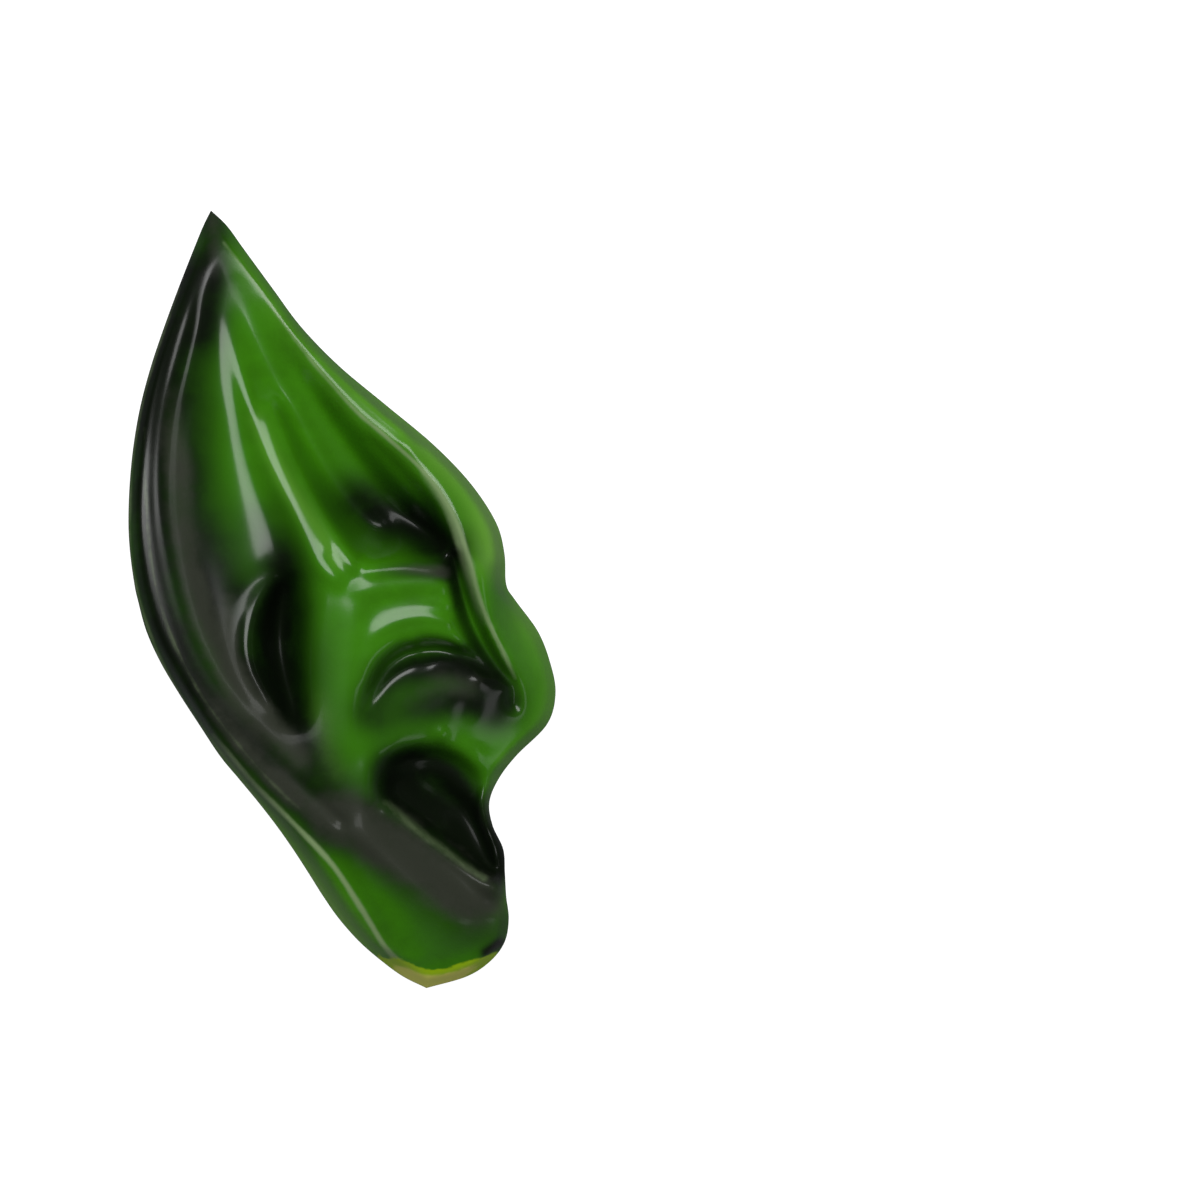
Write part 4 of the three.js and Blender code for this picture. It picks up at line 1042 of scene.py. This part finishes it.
    def smooth(self, mesh: bpy.types.Mesh) -> None:
        """Shades the skin smooth, and leaves the cut edge of the mouth sharp."""
        mesh.polygons.foreach_set("use_smooth", [True] * len(mesh.polygons))
        face_of_edge: dict[int, int] = {}
        sharp = []
        for polygon in mesh.polygons:
            for loop in polygon.loop_indices:
                edge = mesh.loops[loop].edge_index
                if face_of_edge.setdefault(edge, polygon.material_index) != polygon.material_index:
                    sharp.append(edge)
        for edge in sharp:
            mesh.edges[edge].use_edge_sharp = True

    def spray(self, strokes: tuple[Stroke, ...], x: np.ndarray, y: np.ndarray) -> np.ndarray:
        """Works out how much paint a set of strokes leaves at each place, from 0 to 1."""
        form = self.form
        left_over = np.ones(x.shape)
        for stroke in strokes:
            places = smooth_rows(np.array(stroke.path), 8)
            px, py = form.across(places[:, 0]), form.down(places[:, 1])
            nearest = np.full(x.shape, np.inf)
            strength = np.zeros(x.shape)
            for k in range(len(places) - 1):
                run_x, run_y = px[k + 1] - px[k], py[k + 1] - py[k]
                along = np.clip(((x - px[k]) * run_x + (y - py[k]) * run_y) / (run_x**2 + run_y**2), 0, 1)
                gap = np.hypot(px[k] + along * run_x - x, py[k] + along * run_y - y)
                closer = gap < nearest
                nearest[closer] = gap[closer]
                here = places[k, 2] + along * (places[k + 1, 2] - places[k, 2])
                strength[closer] = here[closer]
            left_over *= 1 - strength * np.exp(-((nearest / (stroke.breadth * form.width)) ** 2))
        return 1 - left_over

    def paint(self, mesh: bpy.types.Mesh) -> None:
        """Records on the skin where each layer of the paint lies."""
        places = np.empty(len(mesh.vertices) * 3, np.float32)
        mesh.vertices.foreach_get("co", places)
        x, y, _ = places.reshape(-1, 3).T.astype(float)
        for name, strokes in PAINT_LAYERS.items():
            layer = mesh.attributes.new(name, "FLOAT", "POINT")
            layer.data.foreach_set("value", self.spray(strokes, x, y).astype(np.float32))


class NodeBench:
    """Lays out the nodes of one tree."""

    def __init__(self, tree: bpy.types.NodeTree) -> None:
        """Clears the tree."""
        self.tree = tree
        tree.nodes.clear()

    def add(self, kind: str, values: dict | None = None, **settings: object) -> bpy.types.Node:
        """Adds a node.

        Args:
            kind: The node's type.
            values: Input socket to a value or to the socket that feeds it.
            settings: Properties of the node.

        Returns:
            The node.
        """
        node = self.tree.nodes.new(kind)
        for key, value in settings.items():
            setattr(node, key, value)
        for key, value in (values or {}).items():
            if isinstance(value, bpy.types.NodeSocket):
                self.tree.links.new(value, node.inputs[key])
            else:
                node.inputs[key].default_value = value
        return node

    def ramp(self, value: bpy.types.NodeSocket, low: float, high: float) -> bpy.types.NodeSocket:
        """Spreads the span from low to high over 0 to 1, smoothly."""
        values = {"Value": value, "From Min": low, "From Max": high}
        return self.add("ShaderNodeMapRange", values, interpolation_type="SMOOTHSTEP").outputs["Result"]

    def maths(self, operation: str, *terms: object) -> bpy.types.NodeSocket:
        """Adds a Math node."""
        return self.add("ShaderNodeMath", dict(enumerate(terms)), operation=operation).outputs[0]

    def mix(self, share: object, first: object, second: object) -> bpy.types.NodeSocket:
        """Mixes two colours."""
        node = self.add("ShaderNodeMix", data_type="RGBA")
        for key, value in ((0, share), (6, first), (7, second)):
            if isinstance(value, bpy.types.NodeSocket):
                self.tree.links.new(value, node.inputs[key])
            else:
                node.inputs[key].default_value = (*value, 1) if isinstance(value, tuple) else value
        return node.outputs[2]


def latex_grain() -> bpy.types.NodeTree:
    """Makes the group that both faces of the latex share: cloudy unevenness, and the casting's fine relief.

    Returns:
        A shader node group with Cloud and Relief, both from 0 to 1.
    """
    group = bpy.data.node_groups.new("latex_grain", "ShaderNodeTree")
    bench = NodeBench(group)
    group.interface.new_socket("Vector", in_out="INPUT", socket_type="NodeSocketVector")
    group.interface.new_socket("Cloud Size", in_out="INPUT", socket_type="NodeSocketFloat")
    group.interface.new_socket("Grain Size", in_out="INPUT", socket_type="NodeSocketFloat")
    group.interface.new_socket("Cloud", in_out="OUTPUT", socket_type="NodeSocketFloat")
    group.interface.new_socket("Relief", in_out="OUTPUT", socket_type="NodeSocketFloat")
    given = bench.add("NodeGroupInput").outputs
    cloud_scale = bench.maths("DIVIDE", 1.0, given["Cloud Size"])
    grain_scale = bench.maths("DIVIDE", 1.0, given["Grain Size"])
    cloud = bench.add("ShaderNodeTexNoise", {
        "Vector": given["Vector"], "Scale": cloud_scale, "Detail": 4.0, "Roughness": 0.6,
    }).outputs["Fac"]
    grain = bench.add("ShaderNodeTexNoise", {
        "Vector": given["Vector"], "Scale": grain_scale, "Detail": 2.0, "Roughness": 0.5,
    }).outputs["Fac"]
    coarse, fine = bench.maths("MULTIPLY", cloud, 0.4), bench.maths("MULTIPLY", grain, 0.6)
    relief = bench.maths("ADD", coarse, fine)
    bench.add("NodeGroupOutput", {"Cloud": bench.ramp(cloud, 0.3, 0.7), "Relief": relief})
    return group


@dataclass(frozen=True)
class PaintedLatex:
    """Green latex with black sprayed into its hollows, under a satin sealer. Its colours also paint light:
    highlight lines on the crests, a grey sheen on the matte black, and lighter green on the sides that face
    the lamps.

    Args:
        green: The latex where it is brightest.
        deep_green: The latex where it is deepest.
        pale_green: Painted light: the lighter green laid on the sides and crests that face the lamps.
        painted_highlight: Colour of the painted highlight lines along the crests.
        black: The black spray.
        charcoal_sheen: The black spray where it is matte, a charcoal grey that also paints the lamps' sheen
            on it.
        bare: The worn foot of the lobe.
        stain: The yellow beside it.
        cloud_size: Size of the unevenness of the colours.
        grain_size: Size of the fine relief.
        relief: Height of the relief.
        roughness: Mean roughness of the paint.
        gloss: How strongly the paint itself reflects.
        coat: How thickly it is sealed.
        coat_roughness: Roughness of the sealer.
        roughness_spread: How much the paint's roughness varies.
        spray_unevenness: How cloudy the black spray is.
        dull_sheen_unevenness: How cloudy the matte charcoal and its painted sheen are.
        highlight_unevenness: How uneven the painted highlight lines are.
        wear_unevenness: How uneven the edge of the worn foot is.
        dull_sheen_span: Strengths of the matte, sheened layer at which it begins to show and is full.
        highlight_span: The same of the painted highlight layer.
        highlight_cover: How far a full painted highlight hides the paint.
        stain_span: Strengths of the worn layer at which the stain begins and is full.
        bare_span: The same of the bare latex.
        dull_sheen_unsealed: How much of the sealer is missing where the paint is matte.
        matt_unsealed: How much is missing where it is matt.
    """

    green: tuple[float, float, float] = (0.052, 0.25, 0.004)
    deep_green: tuple[float, float, float] = (0.042, 0.195, 0.0035)
    pale_green: tuple[float, float, float] = (0.17, 0.43, 0.05)
    painted_highlight: tuple[float, float, float] = (0.3, 0.42, 0.2)
    black: tuple[float, float, float] = (0.004, 0.007, 0.003)
    charcoal_sheen: tuple[float, float, float] = (0.037, 0.042, 0.03)
    bare: tuple[float, float, float] = (0.72, 0.74, 0.13)
    stain: tuple[float, float, float] = (0.36, 0.58, 0.004)
    cloud_size: float = 0.006
    grain_size: float = 0.0007
    relief: float = 0.00005
    roughness: float = 0.45
    gloss: float = 0.05
    coat: float = 0.6
    coat_roughness: float = 0.19
    roughness_spread: float = 0.08
    spray_unevenness: float = 0.12
    dull_sheen_unevenness: float = 0.3
    highlight_unevenness: float = 0.2
    wear_unevenness: float = 0.3
    dull_sheen_span: tuple[float, float] = (0.3, 1.05)
    highlight_span: tuple[float, float] = (0.1, 1.0)
    highlight_cover: float = 0.8
    stain_span: tuple[float, float] = (0.3, 0.45)
    bare_span: tuple[float, float] = (0.65, 0.95)
    dull_sheen_unsealed: float = 0.8
    matt_unsealed: float = 0.9

    def material(self, grain_group: bpy.types.NodeTree) -> bpy.types.Material:
        """Builds the finish."""
        material = bpy.data.materials.new("painted_latex")
        material.use_nodes = True
        bench = NodeBench(material.node_tree)
        place = bench.add("ShaderNodeTexCoord").outputs["Object"]
        grain = bench.add("ShaderNodeGroup", node_tree=grain_group)
        bench.tree.links.new(place, grain.inputs["Vector"])
        grain.inputs["Cloud Size"].default_value = self.cloud_size
        grain.inputs["Grain Size"].default_value = self.grain_size
        cloud = grain.outputs["Cloud"]
        sprayed, dull_and_sheen, matt, lit_pale, painted_highlight, worn = (
            bench.add("ShaderNodeAttribute", attribute_name=name).outputs["Fac"] for name in PAINT_LAYERS
        )
        green = bench.mix(cloud, self.deep_green, self.green)
        # Painted light: the sides and crests that face the lamps are laid in a lighter green.
        green = bench.mix(lit_pale, green, self.pale_green)
        uneven = bench.maths("SUBTRACT", cloud, 0.5)
        # The matte charcoal also paints the lamps' grey sheen into the colour of the black.
        dull_sheen_level = bench.maths("ADD", dull_and_sheen, bench.maths("MULTIPLY", uneven, self.dull_sheen_unevenness))
        dull_sheen_share = bench.ramp(dull_sheen_level, *self.dull_sheen_span)
        dark = bench.mix(dull_sheen_share, self.black, self.charcoal_sheen)
        mist = bench.maths("ADD", sprayed, bench.maths("MULTIPLY", uneven, self.spray_unevenness))
        painted = bench.mix(bench.ramp(mist, 0.0, 1.0), green, dark)
        # Painted highlight: pale lines along the crests stand in for the lamps' highlights.
        highlight_level = bench.maths("ADD", painted_highlight, bench.maths("MULTIPLY", uneven, self.highlight_unevenness))
        highlight_share = bench.maths("MULTIPLY", bench.ramp(highlight_level, *self.highlight_span), self.highlight_cover)
        painted = bench.mix(highlight_share, painted, self.painted_highlight)
        edge = bench.maths("ADD", worn, bench.maths("MULTIPLY", uneven, self.wear_unevenness))
        raw = bench.mix(bench.ramp(edge, *self.bare_span), self.stain, self.bare)
        colour = bench.mix(bench.ramp(edge, *self.stain_span), painted, raw)
        bump = bench.add("ShaderNodeBump", {
            "Strength": 1.0, "Distance": self.relief, "Height": grain.outputs["Relief"],
        })
        spread = bench.maths("MULTIPLY", cloud, self.roughness_spread)
        rough = bench.maths("ADD", self.roughness - self.roughness_spread / 2, spread)
        dull_sheen_unsealing = bench.maths("MULTIPLY", dull_sheen_share, self.dull_sheen_unsealed)
        flat = bench.maths("MULTIPLY", matt, self.matt_unsealed)
        missed = bench.maths("MAXIMUM", dull_sheen_unsealing, flat)
        sealed = bench.maths("MULTIPLY", self.coat, bench.maths("SUBTRACT", 1.0, missed))
        shader = bench.add("ShaderNodeBsdfPrincipled", {
            "Base Color": colour, "Roughness": rough, "Specular IOR Level": self.gloss,
            "Coat Weight": sealed, "Coat Roughness": self.coat_roughness, "Normal": bump.outputs["Normal"],
        })
        bench.add("ShaderNodeOutputMaterial", {"Surface": shader.outputs[0]})
        return material


@dataclass(frozen=True)
class BareLatex:
    """Unpainted inside of the casting: creamy and matt.

    Args:
        cream: The latex where it is palest.
        amber: The latex where it is darkest.
        cloud_size: Size of the unevenness of the colours.
        grain_size: Size of the fine relief.
        relief: Height of the relief.
        roughness: Mean roughness.
        roughness_spread: How much the roughness varies.
    """

    cream: tuple[float, float, float] = (0.62, 0.55, 0.30)
    amber: tuple[float, float, float] = (0.48, 0.38, 0.14)
    cloud_size: float = 0.009
    grain_size: float = 0.0012
    relief: float = 0.0002
    roughness: float = 0.6
    roughness_spread: float = 0.12

    def material(self, grain_group: bpy.types.NodeTree) -> bpy.types.Material:
        """Builds the finish."""
        material = bpy.data.materials.new("bare_latex")
        material.use_nodes = True
        bench = NodeBench(material.node_tree)
        place = bench.add("ShaderNodeTexCoord").outputs["Object"]
        grain = bench.add("ShaderNodeGroup", node_tree=grain_group)
        bench.tree.links.new(place, grain.inputs["Vector"])
        grain.inputs["Cloud Size"].default_value = self.cloud_size
        grain.inputs["Grain Size"].default_value = self.grain_size
        cloud = grain.outputs["Cloud"]
        bump = bench.add("ShaderNodeBump", {
            "Strength": 1.0, "Distance": self.relief, "Height": grain.outputs["Relief"],
        })
        spread = bench.maths("MULTIPLY", cloud, self.roughness_spread)
        rough = bench.maths("ADD", self.roughness - self.roughness_spread / 2, spread)
        shader = bench.add("ShaderNodeBsdfPrincipled", {
            "Base Color": bench.mix(cloud, self.amber, self.cream), "Roughness": rough,
            "Normal": bump.outputs["Normal"],
        })
        bench.add("ShaderNodeOutputMaterial", {"Surface": shader.outputs[0]})
        return material


@dataclass(frozen=True)
class Softbox:
    """A rectangular light aimed at the ear.

    Args:
        name: What it does.
        azimuth: Where it stands round the ear, in degrees from +X towards +Y.
        tilt: How far it leans from straight overhead, in degrees.
        distance: Distance from the ear.
        size: Width and length, the length along the lean.
        radiance: How bright its face is.
    """

    name: str
    azimuth: float
    tilt: float
    distance: float
    size: tuple[float, float]
    radiance: float

    def place(self) -> bpy.types.Object:
        """Sets the light up."""
        lamp = bpy.data.lights.new(self.name, "AREA")
        lamp.shape = "RECTANGLE"
        lamp.size, lamp.size_y = self.size
        lamp.energy = self.radiance * math.pi * self.size[0] * self.size[1]
        light = bpy.data.objects.new(self.name, lamp)
        bpy.context.scene.collection.objects.link(light)
        azimuth, tilt = math.radians(self.azimuth), math.radians(self.tilt)
        aside = math.sin(tilt)
        towards = Vector((aside * math.cos(azimuth), aside * math.sin(azimuth), math.cos(tilt)))
        light.location = towards * self.distance
        light.rotation_euler = towards.to_track_quat("Z", "Y").to_euler()
        return light


SOFTBOXES = (
    Softbox("key_softbox", 90, 18, 1.5, (1.08, 0.75), 7.6),
    Softbox("side_strip", -30, 62, 1.5, (0.9, 0.4), 1.3),
)


@dataclass
class Studio:
    """The table, the lights and the camera.

    Args:
        table: Half the side of the table.
        frame_width: What the camera sees across, at the table.
        aim: The middle of what it sees.
        height: The camera's height.
        sensor: Width of its sensor in millimetres.
        air: How bright the room is.
        paper: The table's colour as the camera sees it, before its glow.
        bounce: The table's colour to light that it scatters onto the ear.
        mirrored: The table's colour as the ear's gloss mirrors it.
        table_glow: How brightly the table glows to the camera.
    """

    table: float = 1.2
    frame_width: float = 0.1856
    aim: tuple[float, float] = (0.0396, 0.0)
    height: float = 2.0
    sensor: float = 36.0
    air: float = 0.04
    paper: tuple[float, float, float] = (0.3, 0.3, 0.3)
    bounce: tuple[float, float, float] = (0.75, 0.75, 0.75)
    mirrored: tuple[float, float, float] = (0.12, 0.12, 0.13)
    table_glow: float = 1.0

    def build_table(self) -> bpy.types.Object:
        """Makes the pale table."""
        size = self.table
        corners = [(-size, -size, 0), (size, -size, 0), (size, size, 0), (-size, size, 0)]
        mesh = bpy.data.meshes.new("table")
        mesh.from_pydata(corners, [], [(0, 1, 2, 3)])
        table = bpy.data.objects.new("table", mesh)
        bpy.context.scene.collection.objects.link(table)
        material = bpy.data.materials.new("white_table")
        material.use_nodes = True
        bench = NodeBench(material.node_tree)
        path = bench.add("ShaderNodeLightPath").outputs
        seen = path["Is Camera Ray"]
        lit = bench.mix(path["Is Diffuse Ray"], self.mirrored, self.bounce)
        shader = bench.add("ShaderNodeBsdfPrincipled", {
            "Base Color": bench.mix(seen, lit, self.paper), "Roughness": 0.8,
            "Specular IOR Level": 0.0, "Emission Color": (1, 1, 1, 1),
            "Emission Strength": bench.maths("MULTIPLY", seen, self.table_glow),
        })
        bench.add("ShaderNodeOutputMaterial", {"Surface": shader.outputs[0]})
        mesh.materials.append(material)
        return table

    def light(self) -> None:
        """Sets the lights up, and the dim room around them."""
        for softbox in SOFTBOXES:
            softbox.place()
        world = bpy.data.worlds.new("room")
        world.use_nodes = True
        bench = NodeBench(world.node_tree)
        air = bench.add("ShaderNodeBackground", {"Color": (1, 1, 1, 1), "Strength": self.air})
        bench.add("ShaderNodeOutputWorld", {"Surface": air.outputs[0]})
        bpy.context.scene.world = world
        bpy.context.scene.view_settings.view_transform = "Standard"

    def hang_camera(self) -> None:
        """Hangs the camera straight above, with the lobe towards the bottom of the picture."""
        lens = bpy.data.cameras.new("camera")
        lens.sensor_width = self.sensor
        lens.lens = self.sensor * self.height / self.frame_width
        lens.clip_end = 10
        camera = bpy.data.objects.new("camera", lens)
        camera.location = (*self.aim, self.height)
        bpy.context.scene.collection.objects.link(camera)
        bpy.context.scene.camera = camera


def main() -> None:
    """Builds the ear, its finishes and the studio."""
    logging.basicConfig(level=logging.INFO, format="%(name)s: %(message)s")
    low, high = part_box("ear_shell")
    form = EarForm(length=high[1] - low[1], width=high[0] - low[0])
    grain = latex_grain()
    shell = EarShell(form)
    ear = shell.build()
    materials = ear.data.materials
    for slot, finish in ((0, PaintedLatex()), (1, BareLatex())):
        materials[slot] = finish.material(grain)
    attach(ear, "root")
    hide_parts("ear_shell")
    log.info("%s: %d vertices, %d faces", ear.name, len(ear.data.vertices), len(ear.data.polygons))

    studio = Studio()
    studio.build_table()
    studio.light()
    studio.hang_camera()
    log.info("studio: %d softboxes", len(SOFTBOXES))


if __name__ == "__main__":
    main()
